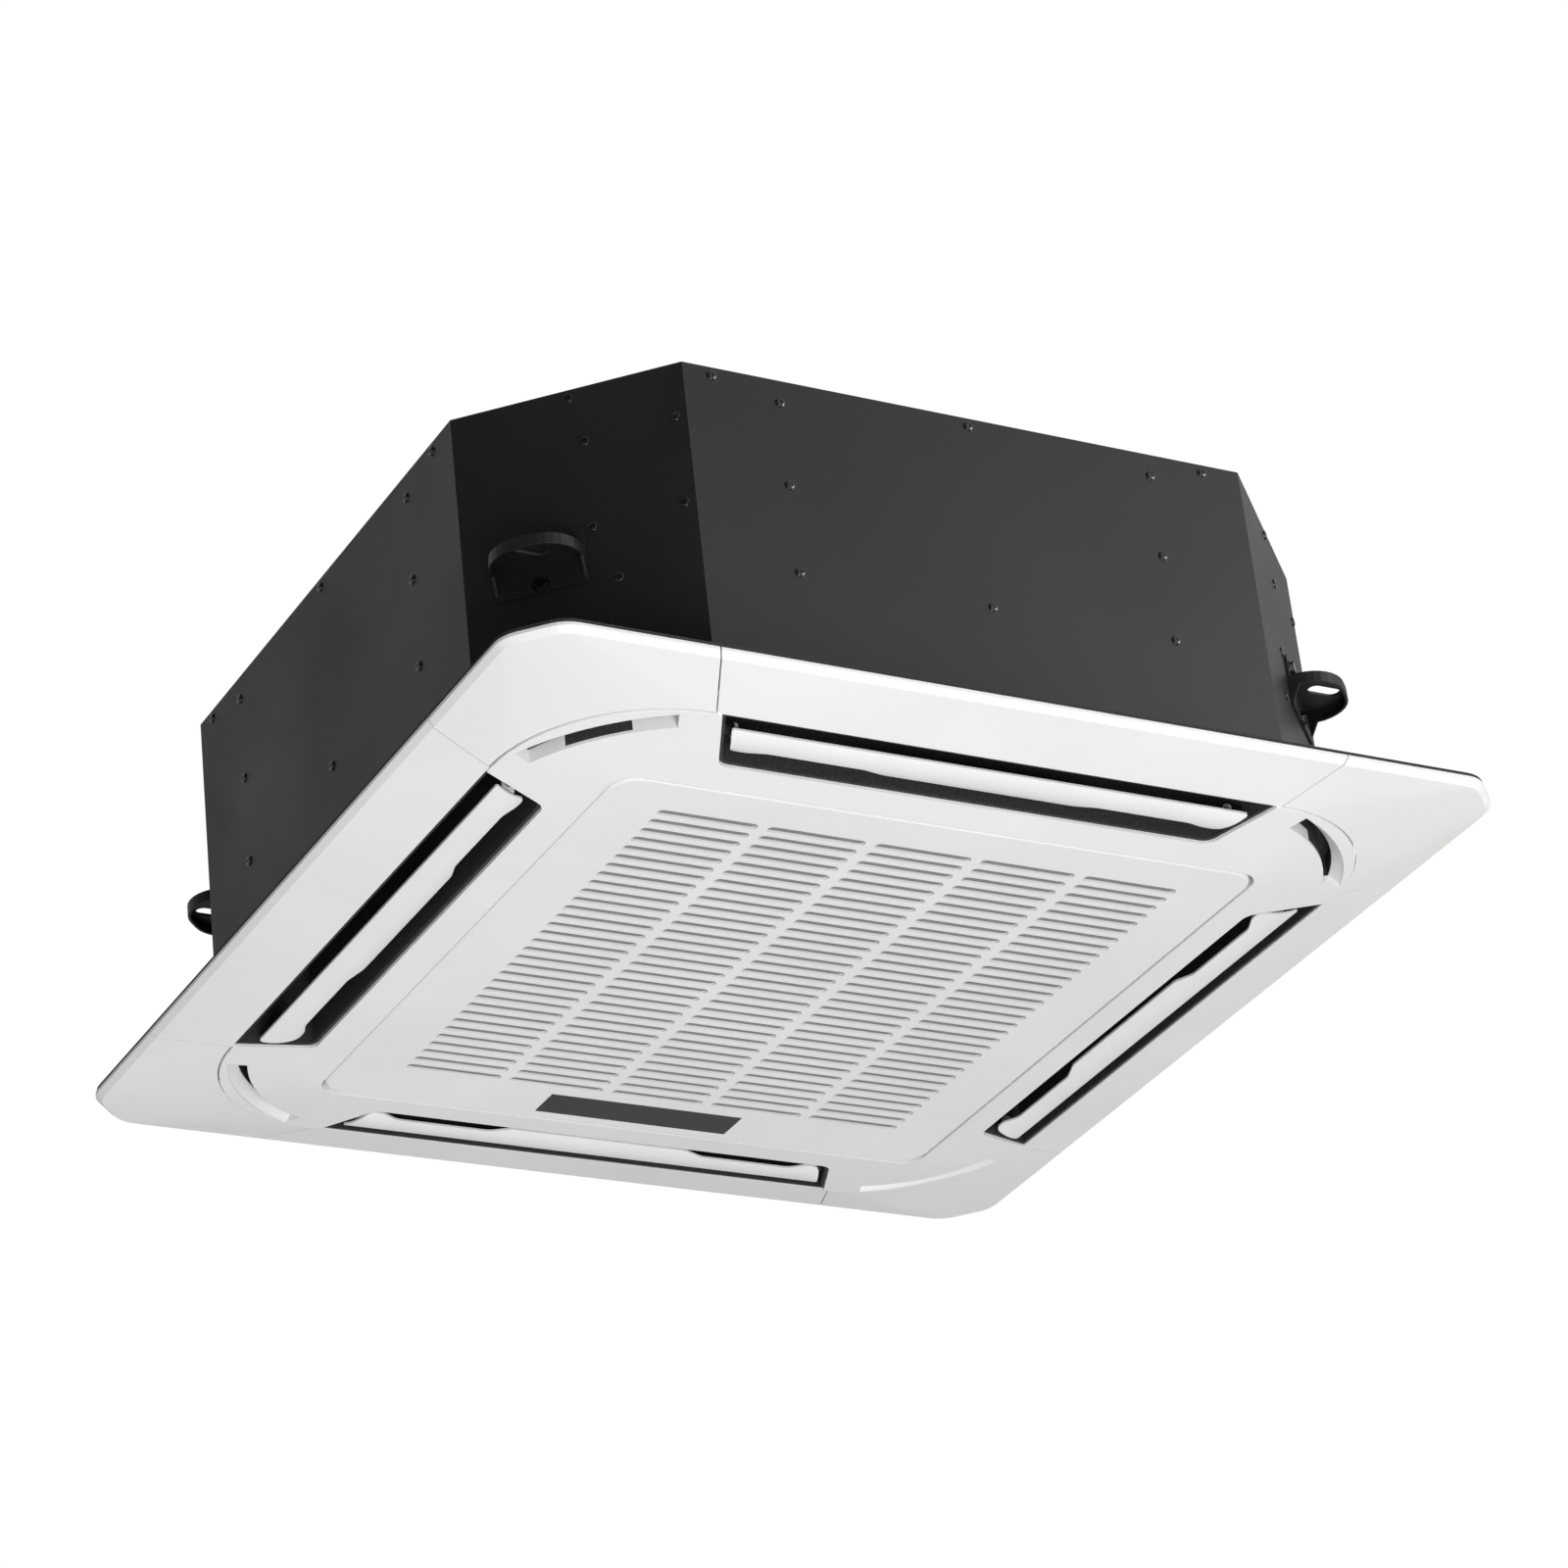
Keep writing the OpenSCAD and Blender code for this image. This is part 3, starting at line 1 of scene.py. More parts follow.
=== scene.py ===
# %% [markdown]
# # A ceiling cassette air conditioner, dressed in Blender
# The unit hangs from four rods. A black steel casing sits above the ceiling, and a white moulded
# panel with a slotted intake grille and four louvers covers the cut-out from below. The measured
# model comes from CAD, so this lesson never resizes it. We give every part the finish that it has
# in the factory, and model the small things that a maker sees up close: screw heads and mesh
# threads. The fins are drawn by their finish.

# %% Load the measured model
import json
import math
import bpy
from mathutils import Matrix, Vector


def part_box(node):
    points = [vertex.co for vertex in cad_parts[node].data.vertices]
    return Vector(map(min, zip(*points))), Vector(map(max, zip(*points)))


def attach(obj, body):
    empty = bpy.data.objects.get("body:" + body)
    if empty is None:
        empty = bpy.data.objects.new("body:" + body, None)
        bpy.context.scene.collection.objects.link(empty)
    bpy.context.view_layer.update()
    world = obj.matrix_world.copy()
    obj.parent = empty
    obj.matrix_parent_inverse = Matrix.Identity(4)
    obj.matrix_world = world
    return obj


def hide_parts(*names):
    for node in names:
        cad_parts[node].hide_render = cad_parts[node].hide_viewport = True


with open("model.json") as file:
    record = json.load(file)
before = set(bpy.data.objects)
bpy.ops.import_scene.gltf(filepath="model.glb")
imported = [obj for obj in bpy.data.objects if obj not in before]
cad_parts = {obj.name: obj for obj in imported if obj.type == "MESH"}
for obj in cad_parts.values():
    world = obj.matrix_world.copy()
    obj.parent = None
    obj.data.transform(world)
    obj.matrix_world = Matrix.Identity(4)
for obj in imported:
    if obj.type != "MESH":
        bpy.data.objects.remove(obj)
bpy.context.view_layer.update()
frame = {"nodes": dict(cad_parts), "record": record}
nodes = frame["nodes"]

# %% [markdown]
# ## Camera
# The picture was taken from below, from the corner where two louvers meet, with a long lens: the
# far edges of the panel shrink only a little. A camera is three turns and a place. We turn it about
# the vertical first, then tip it up, and last roll it about its own line of sight.

# %% The camera
CAMERA_PLACE = Vector((-2.1337, -3.6062, -2.1946))
CAMERA_TURN = math.radians(-30.952)
CAMERA_TIP = math.radians(27.829)
CAMERA_ROLL = math.radians(-6.538)
LENS_MM = 120.47
FARTHEST_SEEN = 100
camera = bpy.data.objects.new("camera", bpy.data.cameras.new("camera"))
bpy.context.collection.objects.link(camera)
camera.data.lens = LENS_MM
camera.data.clip_end = FARTHEST_SEEN
camera.matrix_world = (Matrix.Translation(CAMERA_PLACE) @ Matrix.Rotation(CAMERA_TURN, 4, "Z")
                       @ Matrix.Rotation(math.pi / 2 + CAMERA_TIP, 4, "X")
                       @ Matrix.Rotation(CAMERA_ROLL, 4, "Z"))
bpy.context.scene.camera = camera
print("camera to origin:", round(CAMERA_PLACE.length, 2), "m")

# %% [markdown]
# ## Small tools for materials
# Shader sockets want linear light, while makers write colours as sRGB hex codes, so one function
# turns them. A second one adds a shader node with its settings and links. Every finish starts from
# the same Principled shader, and its even values are set on the shader itself.


# %% Colour and node helpers
MM = 0.001


def linear(code):
    """The linear colour of an sRGB hex code such as #e9e9e8."""
    parts = [int(code[i:i + 2], 16) / 255 for i in (1, 3, 5)]
    return [p / 12.92 if p <= 0.04045 else ((p + 0.055) / 1.055) ** 2.4 for p in parts] + [1.0]


def add(material, kind, links=None, **settings):
    """Adds a shader node. links maps a socket to a value or to another node's output."""
    new = material.node_tree.nodes.new("ShaderNode" + kind)
    for key, value in settings.items():
        setattr(new, key, value)
    for key, value in (links or {}).items():
        if isinstance(value, bpy.types.NodeSocket):
            material.node_tree.links.new(value, new.inputs[key])
        else:
            new.inputs[key].default_value = value
    return new


def finish(name, colour, roughness, metallic=0.0, **sockets):
    """A material with one Principled shader. Its even values sit on the shader's own sockets."""
    material = bpy.data.materials.new(name)
    material.use_nodes = True
    shader = material.node_tree.nodes["Principled BSDF"]
    shader.inputs["Base Color"].default_value = linear(colour)
    shader.inputs["Roughness"].default_value = roughness
    shader.inputs["Metallic"].default_value = metallic
    for key, value in sockets.items():
        shader.inputs[key.replace("_", " ")].default_value = value
    return material


def link(material, output, socket):
    """Joins a node's output to a socket of the material's shader."""
    shader = material.node_tree.nodes["Principled BSDF"]
    material.node_tree.links.new(output, shader.inputs[socket])


def noise(material, size_mm, detail=3.0, stretch=(1, 1, 1)):
    """Soft noise in the object's own space. Its blobs are about size_mm across."""
    place = add(material, "TexCoord").outputs["Object"]
    if stretch != (1, 1, 1):
        place = add(material, "Mapping", {"Vector": place, "Scale": stretch}).outputs[0]
    return add(material, "TexNoise", {"Vector": place, "Scale": 1 / (size_mm * MM), "Detail": detail})


def cells(material, size_mm, feature="F1"):
    """Rounded cells in the object's own space, as in a foam."""
    place = add(material, "TexCoord").outputs["Object"]
    return add(material, "TexVoronoi", {"Vector": place, "Scale": 1 / (size_mm * MM)}, feature=feature)


def tint(material, factor, low, high, start=0.3, stop=0.7):
    """Blends two colours by a pattern and feeds the base colour."""
    ramp = add(material, "ValToRGB", {"Fac": factor})
    ramp.color_ramp.elements[0].position = start
    ramp.color_ramp.elements[1].position = stop
    ramp.color_ramp.elements[0].color = linear(low)
    ramp.color_ramp.elements[1].color = linear(high)
    link(material, ramp.outputs["Color"], "Base Color")


def spread(material, factor, low, high):
    """Lets the roughness wander between two values, as hands and handling leave it."""
    span = add(material, "MapRange", {"Value": factor, "From Min": 0.3, "From Max": 0.7,
                                      "To Min": low, "To Max": high})
    link(material, span.outputs["Result"], "Roughness")


def relief(material, height, depth_mm, edge_mm=0.0, under=None):
    """Raises a pattern by depth_mm, and rounds sharp edges by edge_mm."""
    links = {"Height": height, "Distance": depth_mm * MM, "Strength": 1.0}
    if under:
        links["Normal"] = under.outputs["Normal"]
    elif edge_mm:
        links["Normal"] = add(material, "Bevel", {"Radius": edge_mm * MM}, samples=6).outputs["Normal"]
    bump = add(material, "Bump", links)
    link(material, bump.outputs["Normal"], "Normal")
    return bump


# %% [markdown]
# ## White moulded plastic
# Panel, covers and grille are injection-moulded ABS. The steel mould is spark-eroded, so the skin
# has a fine matt grain that takes the glare off a large white surface, and every edge keeps the
# small radius that lets the part leave the mould. The grain is about 0.3 mm on the real part, too
# fine for this picture, so it is drawn at 0.9 mm. The louvers come from a polished mould.

# %% White plastics
panel_white = finish("abs_spark_eroded_white", "#e9e9e8", 0.5, IOR=1.53)
tint(panel_white, noise(panel_white, 140).outputs["Fac"], "#e6e7e6", "#ececeb")
relief(panel_white, noise(panel_white, 0.9).outputs["Fac"], 0.012, edge_mm=0.9)

louver_white = finish("abs_polished_white", "#ececeb", 0.36, IOR=1.53)
tint(louver_white, noise(louver_white, 90).outputs["Fac"], "#e9e9e8", "#eeeeed")
relief(louver_white, noise(louver_white, 30).outputs["Fac"], 0.02, edge_mm=0.7)

pump_white = finish("polypropylene_natural_white", "#dcdcd6", 0.42, IOR=1.49, Subsurface_Weight=0.1)
tint(pump_white, noise(pump_white, 25).outputs["Fac"], "#d6d6cf", "#e0e0da")
relief(pump_white, noise(pump_white, 1.5).outputs["Fac"], 0.01, edge_mm=0.5)
print("white plastics:", panel_white.name, louver_white.name, pump_white.name)

# %% [markdown]
# ## Black powder coat on sheet steel
# The casing is bent from 1.2 mm galvanised sheet and powder coated. Powder melts into a film with
# a low orange-peel of about 1.5 mm, and large sheets are never quite flat, which gives the slow
# change of light across each side. The second, slower wave is that oil-canning.

# %% Powder coat
coat_black = finish("powder_coat_matt_black", "#1e1e1f", 0.45, IOR=1.5)
tint(coat_black, noise(coat_black, 220).outputs["Fac"], "#1c1c1d", "#212122")
spread(coat_black, noise(coat_black, 160, detail=2).outputs["Fac"], 0.4, 0.5)
slow_wave = relief(coat_black, noise(coat_black, 170, detail=0).outputs["Fac"], 0.5, edge_mm=0.8)
relief(coat_black, noise(coat_black, 1.6, detail=1).outputs["Fac"], 0.02, under=slow_wave)
print("powder coat:", coat_black.name)

# %% [markdown]
# ## Black plastics, rubber and foam
# The fan and the inlet ring are glass-filled polypropylene, which moulds to a dull black with faint
# flow marks. Gasket and air ducts are closed-cell foam: a skin of small round cells that swallows
# light. The display window is smoked acrylic, glossy as glass, and looks black until it is lit.

# %% Dark finishes
fan_black = finish("polypropylene_glass_filled_black", "#1d1d1f", 0.45, IOR=1.49)
tint(fan_black, noise(fan_black, 60, stretch=(1, 1, 0.2)).outputs["Fac"], "#19191b", "#212123")
relief(fan_black, noise(fan_black, 2.0).outputs["Fac"], 0.02, edge_mm=0.6)

foam_black = finish("foam_closed_cell_black", "#2e2e2e", 0.8, IOR=1.4)
foam_cells = cells(foam_black, 2.2)
tint(foam_black, foam_cells.outputs["Distance"], "#242424", "#383838", 0.1, 0.8)
relief(foam_black, foam_cells.outputs["Distance"], -0.15)

window_smoked = finish("acrylic_smoked", "#121213", 0.1, IOR=1.49, Coat_Weight=0.3, Coat_Roughness=0.05)
tint(window_smoked, noise(window_smoked, 60, detail=1).outputs["Fac"], "#111112", "#171718")
relief(window_smoked, noise(window_smoked, 40, detail=0).outputs["Fac"], 0.01, edge_mm=0.4)
print("dark finishes:", fan_black.name, foam_black.name, window_smoked.name)

# %% [markdown]
# ## White bead foam
# Drain pan and linings are expanded polystyrene. Steam fuses beads of about 4 mm, and the seams
# between the beads stay visible as a net of fine lines.

# %% Bead foam
foam_white = finish("expanded_polystyrene_beads", "#e4e4e2", 0.75, IOR=1.3, Subsurface_Weight=0.1)
bead_gap = cells(foam_white, 4.5, "DISTANCE_TO_EDGE")
tint(foam_white, bead_gap.outputs["Distance"], "#cfcfcc", "#ebebe9", 0.0, 0.12)
relief(foam_white, bead_gap.outputs["Distance"], 0.3)
print("bead foam:", foam_white.name)

# %% [markdown]
# ## Metals
# Bolts and boxes are zinc plated, a bluish grey with a cloudy crystal pattern; the casing screws and
# the bracket bolts are black oxide. Refrigerant tube is drawn copper, so its streaks run along the
# tube. Flare nuts are turned brass. A metal's colour is its reflection, so all of them are fully
# metallic and only roughness and tint differ.

# %% Metals
zinc = finish("steel_zinc_plated", "#b4b8bb", 0.38, 1.0)
tint(zinc, cells(zinc, 7).outputs["Color"], "#a5a9ac", "#c0c4c7")
spread(zinc, noise(zinc, 12).outputs["Fac"], 0.3, 0.46)
relief(zinc, noise(zinc, 3).outputs["Fac"], 0.01, edge_mm=0.3)

screw_black = finish("steel_black_oxide", "#5c5c5e", 0.22, 1.0)
spread(screw_black, noise(screw_black, 2).outputs["Fac"], 0.16, 0.28)
relief(screw_black, noise(screw_black, 1).outputs["Fac"], 0.01, edge_mm=0.2)

copper = finish("copper_drawn_tube", "#c07f5c", 0.3, 1.0)
tint(copper, noise(copper, 18).outputs["Fac"], "#a9674a", "#cc8c67")
spread(copper, noise(copper, 9).outputs["Fac"], 0.22, 0.4)

brass = finish("brass_turned", "#c9a765", 0.28, 1.0)
tint(brass, noise(brass, 10).outputs["Fac"], "#bd9a58", "#d0b072")
relief(brass, noise(brass, 1.2, stretch=(1, 0.2, 0.2)).outputs["Fac"], 0.02, edge_mm=0.4)

motor_cast = finish("aluminium_die_cast", "#a9acae", 0.5, 1.0)
tint(motor_cast, noise(motor_cast, 20).outputs["Fac"], "#9da0a2", "#b2b5b7")
relief(motor_cast, noise(motor_cast, 1.8).outputs["Fac"], 0.04, edge_mm=0.8)

can_steel = finish("steel_drawn_can", "#b9bbbd", 0.32, 1.0)
spread(can_steel, noise(can_steel, 4, stretch=(0.2, 1, 1)).outputs["Fac"], 0.26, 0.4)
relief(can_steel, noise(can_steel, 2).outputs["Fac"], 0.01, edge_mm=0.4)
print("metals:", zinc.name, screw_black.name, copper.name, brass.name, motor_cast.name)

# %% [markdown]
# ## Fins of the heat exchanger
# The coil is a stack of thin aluminium fins, about 1.6 mm apart, with hydrophilic blue-grey coating
# hardly thicker than paint. The finish draws light fin edges, and the gaps between them are painted
# dark as painted shade. The stripes run across the tubes, so their direction changes with the side of
# the coil: the surface normal picks which of two stripe patterns is used. Real pitch is too fine to
# show, so it is drawn at 3.2 mm.

# %% Fin stack
FIN_PITCH = 3.2 * MM
fins = finish("aluminium_fin_stack", "#b9bdc1", 0.4, 0.9)
fin_place = add(fins, "TexCoord").outputs["Object"]
fin_axes = add(fins, "SeparateXYZ", {"Vector": fin_place})
fin_normal = add(fins, "SeparateXYZ", {"Vector": add(fins, "NewGeometry").outputs["Normal"]})
facing_x = add(fins, "Math", {0: fin_normal.outputs["X"]}, operation="ABSOLUTE")
facing_y = add(fins, "Math", {0: fin_normal.outputs["Y"]}, operation="ABSOLUTE")
side_x = add(fins, "Math", {0: facing_x.outputs[0], 1: facing_y.outputs[0]}, operation="GREATER_THAN")
along = add(fins, "Mix", {"Factor": side_x.outputs[0], 2: fin_axes.outputs["X"], 3: fin_axes.outputs["Y"]})
turns = add(fins, "Math", {0: along.outputs[0], 1: 1 / FIN_PITCH}, operation="MULTIPLY")
wave = add(fins, "Math", {0: turns.outputs[0], 1: 1.0}, operation="PINGPONG")
# Dark end of the ramp: painted shade in the gaps between fins; light end: the fin edges.
tint(fins, wave.outputs[0], "#4c4f52", "#c6cacd", 0.15, 0.5)
relief(fins, wave.outputs[0], 0.5)
print("fins every", FIN_PITCH / MM, "mm")

# %% [markdown]
# ## Circuit boards and the air filter
# A board is glass-epoxy under green solder mask, with copper tracks that show as lighter lines. The
# filter is a net of polypropylene threads welded into a moulded frame. The net is modelled later;
# this finish is for its frame and closed sheet, where it draws a fine weave whose holes are painted
# dark as painted shade of the space behind the net.

# %% Boards and filter
board_green = finish("solder_mask_green", "#14542f", 0.3, IOR=1.5, Coat_Weight=0.4)
track = add(board_green, "TexBrick", {"Vector": add(board_green, "TexCoord").outputs["Object"],
                                      "Scale": 60.0, "Mortar Size": 0.03}, offset=0.3)
tint(board_green, track.outputs["Fac"], "#14542f", "#2c7a4a", 0.2, 0.8)
relief(board_green, track.outputs["Fac"], 0.05)

filter_grey = finish("polypropylene_mesh_grey", "#a6a7a8", 0.5, IOR=1.49)
net = add(filter_grey, "TexBrick", {"Vector": add(filter_grey, "TexCoord").outputs["Object"],
                                    "Scale": 1.0, "Mortar Size": 0.25 * MM, "Brick Width": 3 * MM,
                                    "Row Height": 3 * MM}, offset=0.0)
# Dark end of the ramp: painted shade in the holes of the weave; light end: the threads.
tint(filter_grey, net.outputs["Fac"], "#6c6d70", "#a4a5a7", 0.2, 0.8)
relief(filter_grey, net.outputs["Fac"], 0.2, edge_mm=0.4)
print("boards and filter:", board_green.name, filter_grey.name)

# %% [markdown]
# ## Give every CAD node its finish
# The record names a material slot for each node. One table turns slots into finishes, and a second
# one holds the nodes whose look differs from their slot.

# %% Assign finishes
SLOT_FINISH = {"dark_steel": coat_black, "zinc": zinc, "white_plastic": panel_white,
               "dark_plastic": fan_black, "dark_foam": foam_black, "white_foam": foam_white,
               "copper": copper, "brass": brass, "fins": fins, "board": board_green,
               "filter": filter_grey, "smoked": window_smoked, "motor_case": motor_cast,
               "step_case": can_steel}
NODE_FINISH = {"casing_screws": screw_black, "bracket_bolts": screw_black, "pump_housing": pump_white,
               "pump_impeller": pump_white, "drain_spout": pump_white, "float": pump_white,
               "louver_front": louver_white, "louver_right": louver_white,
               "louver_back": louver_white, "louver_left": louver_white}


def wear(piece, material):
    """Gives a piece one finish all over."""
    piece.data.materials.clear()
    piece.data.materials.append(material)


for part in frame["record"]["subparts"]:
    name = part["node"]
    wear(nodes[name], NODE_FINISH.get(name, SLOT_FINISH[part["material_slot"]]))
print("finishes given to", len(nodes), "nodes")

# %% [markdown]
# ## Pan-head screws of the casing
# The measured model has a plain stepped head at each place. We model one real screw: a flange that
# presses the sheet, a domed head, and the cross recess for the driver. Then one copy goes to each
# place. The place and the direction come from the CAD mesh itself: split into its loose parts, the
# largest flat area of each part is square to its axis, and the wide end of the part is the head.


# %% Tools for modelling
def activate(piece):
    """Makes one object the only selected and active one."""
    if bpy.context.mode != "OBJECT":
        bpy.ops.object.mode_set(mode="OBJECT")
    bpy.ops.object.select_all(action="DESELECT")
    piece.select_set(True)
    bpy.context.view_layer.objects.active = piece


def pick_faces(piece, test):
    """Enters edit mode with the faces selected whose centre and normal pass the test."""
    activate(piece)
    bpy.ops.object.mode_set(mode="EDIT")
    bpy.ops.mesh.select_mode(type="FACE")
    bpy.ops.mesh.select_all(action="DESELECT")
    bpy.ops.object.mode_set(mode="OBJECT")
    for face in piece.data.polygons:
        face.select = test(face.center, face.normal)
    bpy.ops.object.mode_set(mode="EDIT")


def raise_faces(height):
    """Extrudes the picked faces along Z."""
    bpy.ops.mesh.extrude_region_move(TRANSFORM_OT_translate={"value": (0, 0, height)})


def shrink_faces(step, rise=0.0):
    """Insets the picked faces by a step and lifts what is inside."""
    bpy.ops.mesh.inset(thickness=step, depth=rise)


def leave_edit(piece, angle=40):
    """Back to object mode, with edges sharper than the angle kept crisp."""
    bpy.ops.object.mode_set(mode="OBJECT")
    activate(piece)
    bpy.ops.object.shade_smooth_by_angle(angle=math.radians(angle))


def settle(piece):
    """Writes the object's place and turn into its mesh."""
    activate(piece)
    bpy.ops.object.transform_apply(location=True, rotation=True, scale=True)


def joined(parts, name):
    """Joins objects into one piece."""
    bpy.ops.object.select_all(action="DESELECT")
    for part in parts:
        part.select_set(True)
    bpy.context.view_layer.objects.active = parts[0]
    if len(parts) > 1:
        bpy.ops.object.join()
    parts[0].name = name
    return parts[0]


def loose_parts(node):
    """A merged copy of a CAD node, split into its loose parts."""
    copy = nodes[node].copy()
    copy.data = nodes[node].data.copy()
    bpy.context.collection.objects.link(copy)
    copy.parent = None
    copy.matrix_world = nodes[node].matrix_world.copy()
    activate(copy)
    bpy.ops.object.mode_set(mode="EDIT")
    bpy.ops.mesh.select_all(action="SELECT")
    bpy.ops.mesh.remove_doubles(threshold=0.00001)
    bpy.ops.mesh.separate(type="LOOSE")
    bpy.ops.object.mode_set(mode="OBJECT")
    return list(bpy.context.selected_objects)


def drop(pieces):
    """Deletes helper objects."""
    bpy.ops.object.select_all(action="DESELECT")
    for piece in pieces:
        piece.select_set(True)
    bpy.ops.object.delete()


# %% One screw
SCREW_HEAD_R, SCREW_SHANK_R, SCREW_L = 4.8 * MM, 1.75 * MM, 7.5 * MM
SCREW_SIDES = 20
FLANGE_T, FLANGE_EDGE, HEAD_WALL = 0.5 * MM, 0.5 * MM, 0.7 * MM
DOME_STEPS = ((0.7 * MM, 0.45 * MM), (1.0 * MM, 0.25 * MM))
RECESS_L, RECESS_W, RECESS_H, RECESS_MID = 4.6 * MM, 1.0 * MM, 1.8 * MM, 1.9 * MM
bpy.ops.mesh.primitive_cylinder_add(vertices=SCREW_SIDES, radius=SCREW_HEAD_R, depth=FLANGE_T,
                                    location=(0, 0, FLANGE_T / 2))
screw = bpy.context.object
settle(screw)
pick_faces(screw, lambda centre, normal: normal.z > 0.9)
shrink_faces(FLANGE_EDGE)
raise_faces(HEAD_WALL)
for step, rise in DOME_STEPS:
    shrink_faces(step, rise)
pick_faces(screw, lambda centre, normal: normal.z < -0.9)
shrink_faces(SCREW_HEAD_R - SCREW_SHANK_R)
raise_faces(-SCREW_L)
leave_edit(screw)
for turn in (0, 90):
    bpy.ops.mesh.primitive_cube_add(size=1, location=(0, 0, RECESS_MID))
    bit = bpy.context.object
    bit.scale = (RECESS_L, RECESS_W, RECESS_H)
    bit.rotation_euler.z = math.radians(turn)
    settle(bit)
    activate(screw)
    cut = screw.modifiers.new("recess", "BOOLEAN")
    cut.operation, cut.solver, cut.object = "DIFFERENCE", "EXACT", bit
    bpy.ops.object.modifier_apply(modifier="recess")
    drop([bit])
print("one screw:", len(screw.data.polygons), "faces")


# %% A screw in each place
CAD_HEAD_H, HEAD_REACH, SCREW_TURN = 1.8 * MM, 3 * MM, 0.61


def seat_of(part):
    """The middle of a screw's seat and the direction in which its head looks."""
    areas = {}
    for face in part.data.polygons:
        key = tuple(round(c, 2) + 0.0 for c in face.normal)
        areas[key] = areas.get(key, 0) + face.area
    out = Vector(max(areas, key=areas.get)).normalized()
    points = [part.matrix_world @ vertex.co for vertex in part.data.vertices]
    low = Vector([min(p[i] for p in points) for i in range(3)])
    high = Vector([max(p[i] for p in points) for i in range(3)])
    middle = (low + high) / 2
    wide = [along for along, aside in (((p - middle).dot(out), (p - middle).cross(out).length)
                                       for p in points) if aside > HEAD_REACH]
    if sum(wide) < 0:
        out = -out
    top = max((p - middle).dot(out) for p in points)
    return middle + out * (top - CAD_HEAD_H), out


places = loose_parts("casing_screws")
heads = []
for number, part in enumerate(places):
    seat, out = seat_of(part)
    copy = screw.copy()
    copy.data = screw.data.copy()
    bpy.context.collection.objects.link(copy)
    copy.data.transform(Matrix.Translation(seat) @ out.to_track_quat("Z", "Y").to_matrix().to_4x4()
                        @ Matrix.Rotation(number * SCREW_TURN, 4, "Z"))
    heads.append(copy)
drop(places + [screw])
casing_screws = joined(heads, "casing_screw_set")
wear(casing_screws, screw_black)
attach(casing_screws, "casing")
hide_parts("casing_screws")
print("screws:", len(heads), "faces:", len(casing_screws.data.polygons))

# %% [markdown]
# ## The net of the air filter
# The CAD filter is a frame with a closed sheet. The real sheet is a woven net, so threads are laid
# over it: one round thread is modelled and repeated across the frame, first one way and then the
# other. Real threads stand 1.5 mm apart. Every fourth is drawn, thicker, and the sheet's own finish
# draws the finer weave between them, with its holes painted dark as painted shade.

# %% Threads
THREAD_R, THREAD_STEP, SHEET_T = 0.4 * MM, 6.0 * MM, 1.0 * MM
THREAD_SIDES, THREAD_EDGE, FRAME_W = 6, 0.3 * THREAD_R, 3 * MM
net_low, net_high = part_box("air_filter")


def threads(length, width, turned):
    """Parallel threads of one length across a width, at the origin."""
    bpy.ops.mesh.primitive_cylinder_add(vertices=THREAD_SIDES, radius=THREAD_R, depth=length,
                                        location=(0, 0, 0), rotation=(0, math.pi / 2, 0))
    weave = bpy.context.object
    settle(weave)
    pick_faces(weave, lambda centre, normal: abs(normal.x) > 0.9)
    bpy.ops.mesh.bevel(offset=THREAD_EDGE, segments=1)
    leave_edit(weave)
    rows = int(width / THREAD_STEP)
    repeat = weave.modifiers.new("rows", "ARRAY")
    repeat.count = rows
    repeat.use_relative_offset = False
    repeat.use_constant_offset = True
    repeat.constant_offset_displace = (0, THREAD_STEP, 0)
    bpy.ops.object.modifier_apply(modifier="rows")
    weave.location.y = -(rows - 1) * THREAD_STEP / 2
    settle(weave)
    weave.rotation_euler.z = math.radians(90 if turned else 0)
    settle(weave)
    return weave


net_size = [high - low - 2 * FRAME_W for low, high in zip(net_low, net_high)]
net_place = Vector([(low + high) / 2 for low, high in zip(net_low, net_high)])
net_place.z = net_low[2] + SHEET_T + THREAD_R
across = threads(net_size[0], net_size[1], False)
along_y = threads(net_size[1], net_size[0], True)
along_y.location.z = THREAD_R
settle(along_y)
filter_net = joined([across, along_y], "filter_net")
filter_net.location = net_place
settle(filter_net)
thread_grey = finish("polypropylene_thread", "#8f9194", 0.45, IOR=1.49)
tint(thread_grey, noise(thread_grey, 8).outputs["Fac"], "#85878a", "#999b9e")
wear(filter_net, thread_grey)
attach(filter_net, "grille_door")
print("filter net faces:", len(filter_net.data.polygons))

# %% [markdown]
# ## Floor and light
# The unit hangs well above a pale floor. One broad soft lamp lights the panel from below, where the
# camera stands, and two smaller ones graze the casing's sides. A dark surface is hardly more than a
# mirror for its surroundings, so the sky has a dark side: the cut corner of the casing reflects it,
# and so the corner reads as a band that is darker than the two sides beside it. For the eye the
# backdrop is plain white, and the floor is lifted a little, for camera rays alone.

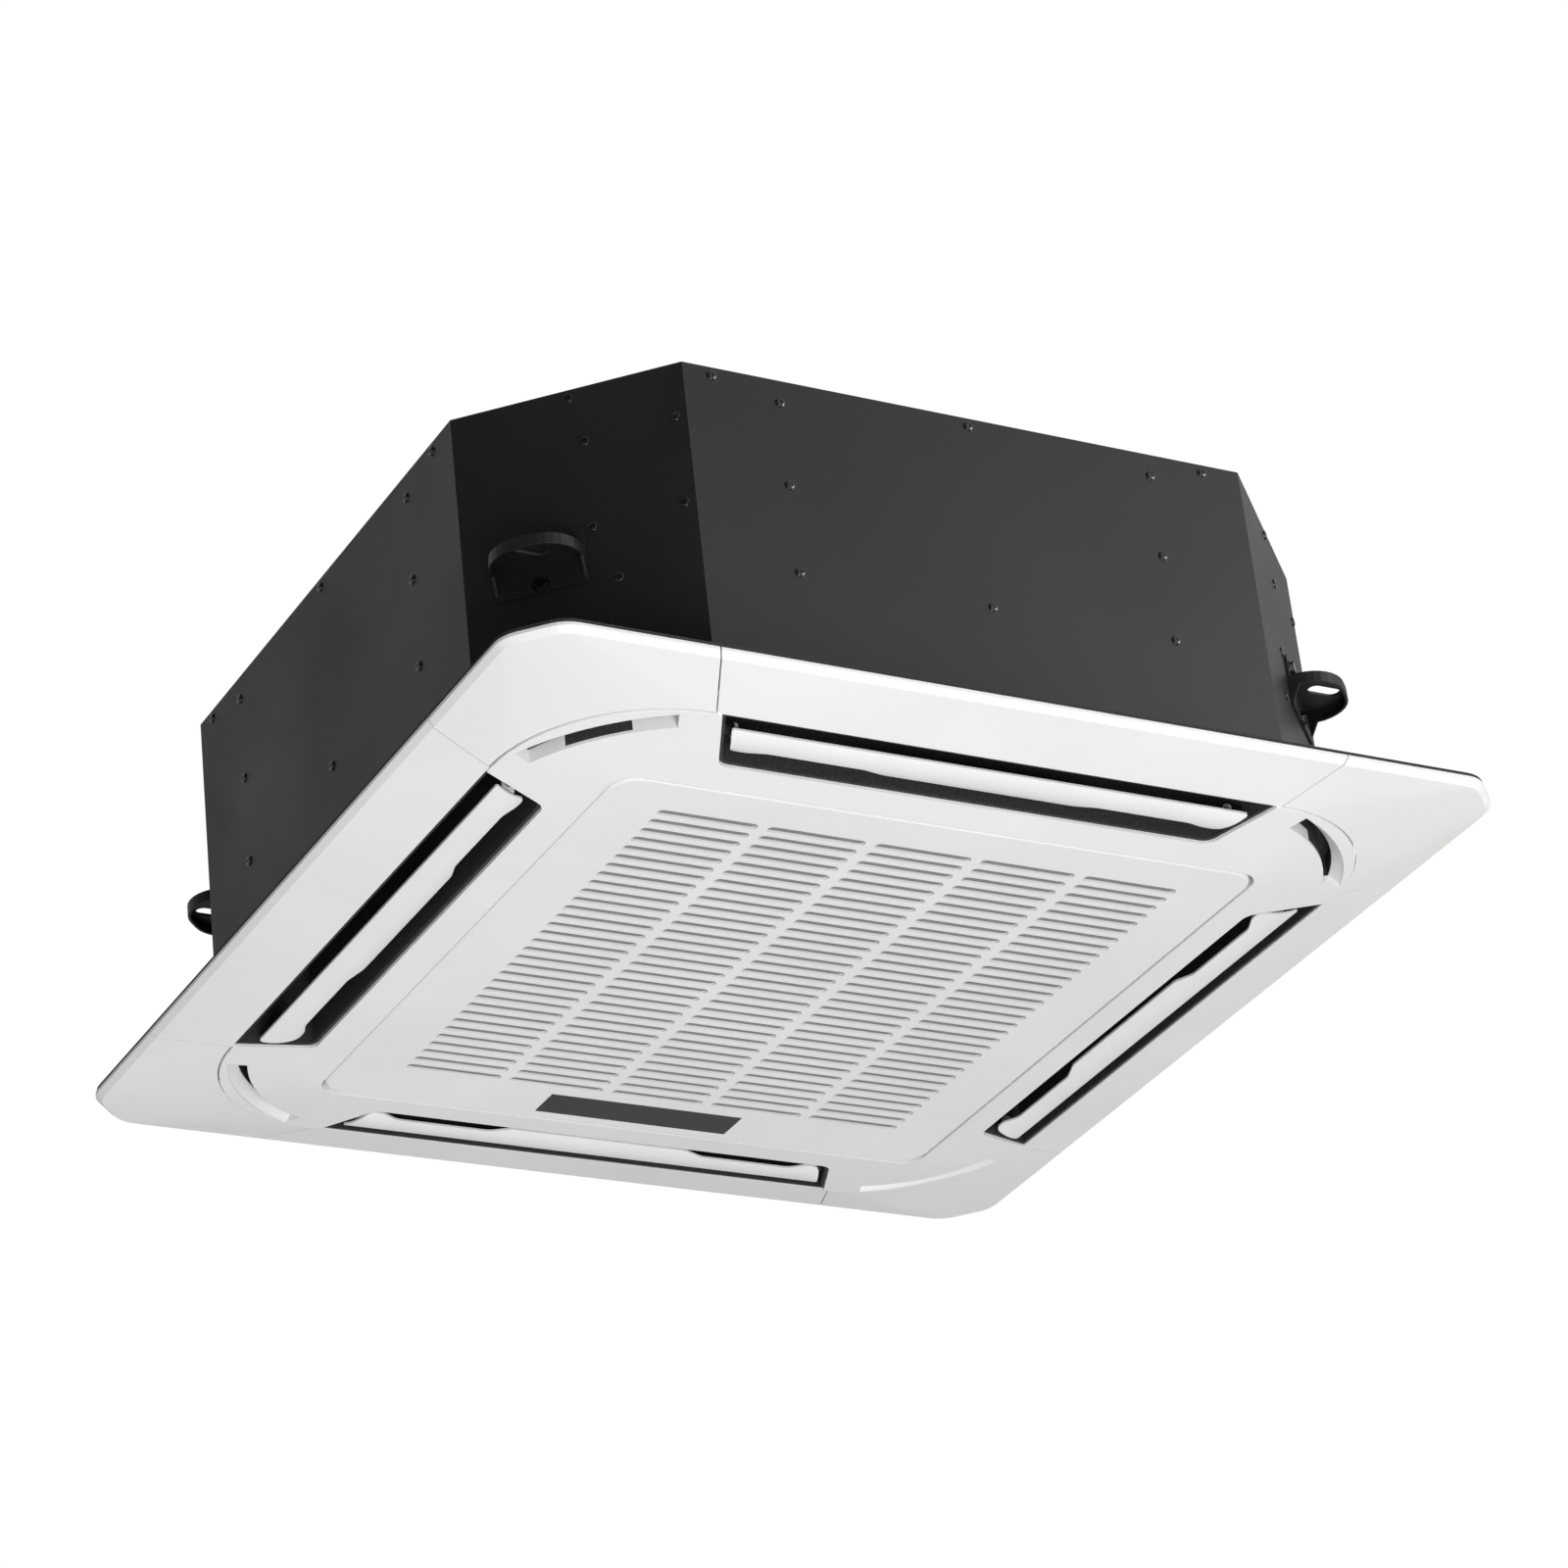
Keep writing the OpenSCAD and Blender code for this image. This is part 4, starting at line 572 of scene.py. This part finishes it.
# %% Floor
FLOOR_DROP, FLOOR_SIZE, FLOOR_LIFT = 6.0, 80, 0.4
bpy.ops.object.select_all(action="DESELECT")
bpy.ops.mesh.primitive_plane_add(size=FLOOR_SIZE, location=(0, 0, -FLOOR_DROP))
floor = bpy.context.object
floor.name = "floor"
pale_floor = finish("painted_floor_pale", "#f2f2f1", 0.9)
shader = pale_floor.node_tree.nodes["Principled BSDF"]
shader.inputs["Emission Color"].default_value = linear("#ffffff")
lift = add(pale_floor, "Math", {0: add(pale_floor, "LightPath").outputs["Is Camera Ray"],
                                1: FLOOR_LIFT}, operation="MULTIPLY")
link(pale_floor, lift.outputs[0], "Emission Strength")
wear(floor, pale_floor)
print("floor", FLOOR_DROP, "m below the middle")

# %% Lamps and sky
# Each lamp: its place and what it looks at in metres, its width in metres, its power in watts.
LAMPS = {"key": ((-0.8, -3.4, -3.8), (0, 0, 0), 3.0, 212),
         "right": ((2.1, -2.4, 0.45), (0.3, -0.42, 0.0), 1.2, 28),
         "left": ((-4.4, 2.2, 0.2), (0, 0, 0), 2.0, 5)}
SKY_LEVEL = 0.55
DARK_SIDE = (-0.86, -0.33, 0.39)
DARK_FROM, DARK_FULL, DARK_SHARE = 0.1, 0.9, 0.1
for name, (place, target, size, power) in LAMPS.items():
    light = bpy.data.objects.new(name, bpy.data.lights.new(name, "AREA"))
    bpy.context.collection.objects.link(light)
    light.data.size = size
    light.data.energy = power
    light.location = place
    light.rotation_euler = (Vector(target) - Vector(place)).to_track_quat("-Z", "Y").to_euler()
sky = bpy.data.worlds.new("sky")
bpy.context.scene.world = sky
sky.use_nodes = True
backdrop = sky.node_tree.nodes["Background"]
way = add(sky, "VectorMath", {0: add(sky, "TexCoord").outputs["Generated"], 1: DARK_SIDE},
          operation="DOT_PRODUCT")
glow = add(sky, "MapRange", {"Value": way.outputs["Value"], "From Min": DARK_FROM,
                             "From Max": DARK_FULL, "To Min": SKY_LEVEL,
                             "To Max": DARK_SHARE * SKY_LEVEL})
level = add(sky, "Mix", {"Factor": add(sky, "LightPath").outputs["Is Camera Ray"],
                         2: glow.outputs["Result"], 3: 1.0})
backdrop.inputs["Color"].default_value = (1, 1, 1, 1)
sky.node_tree.links.new(level.outputs[0], backdrop.inputs["Strength"])
bpy.context.scene.view_settings.view_transform = "Standard"
print("lamps:", ", ".join(LAMPS), "and a sky with a dark side")
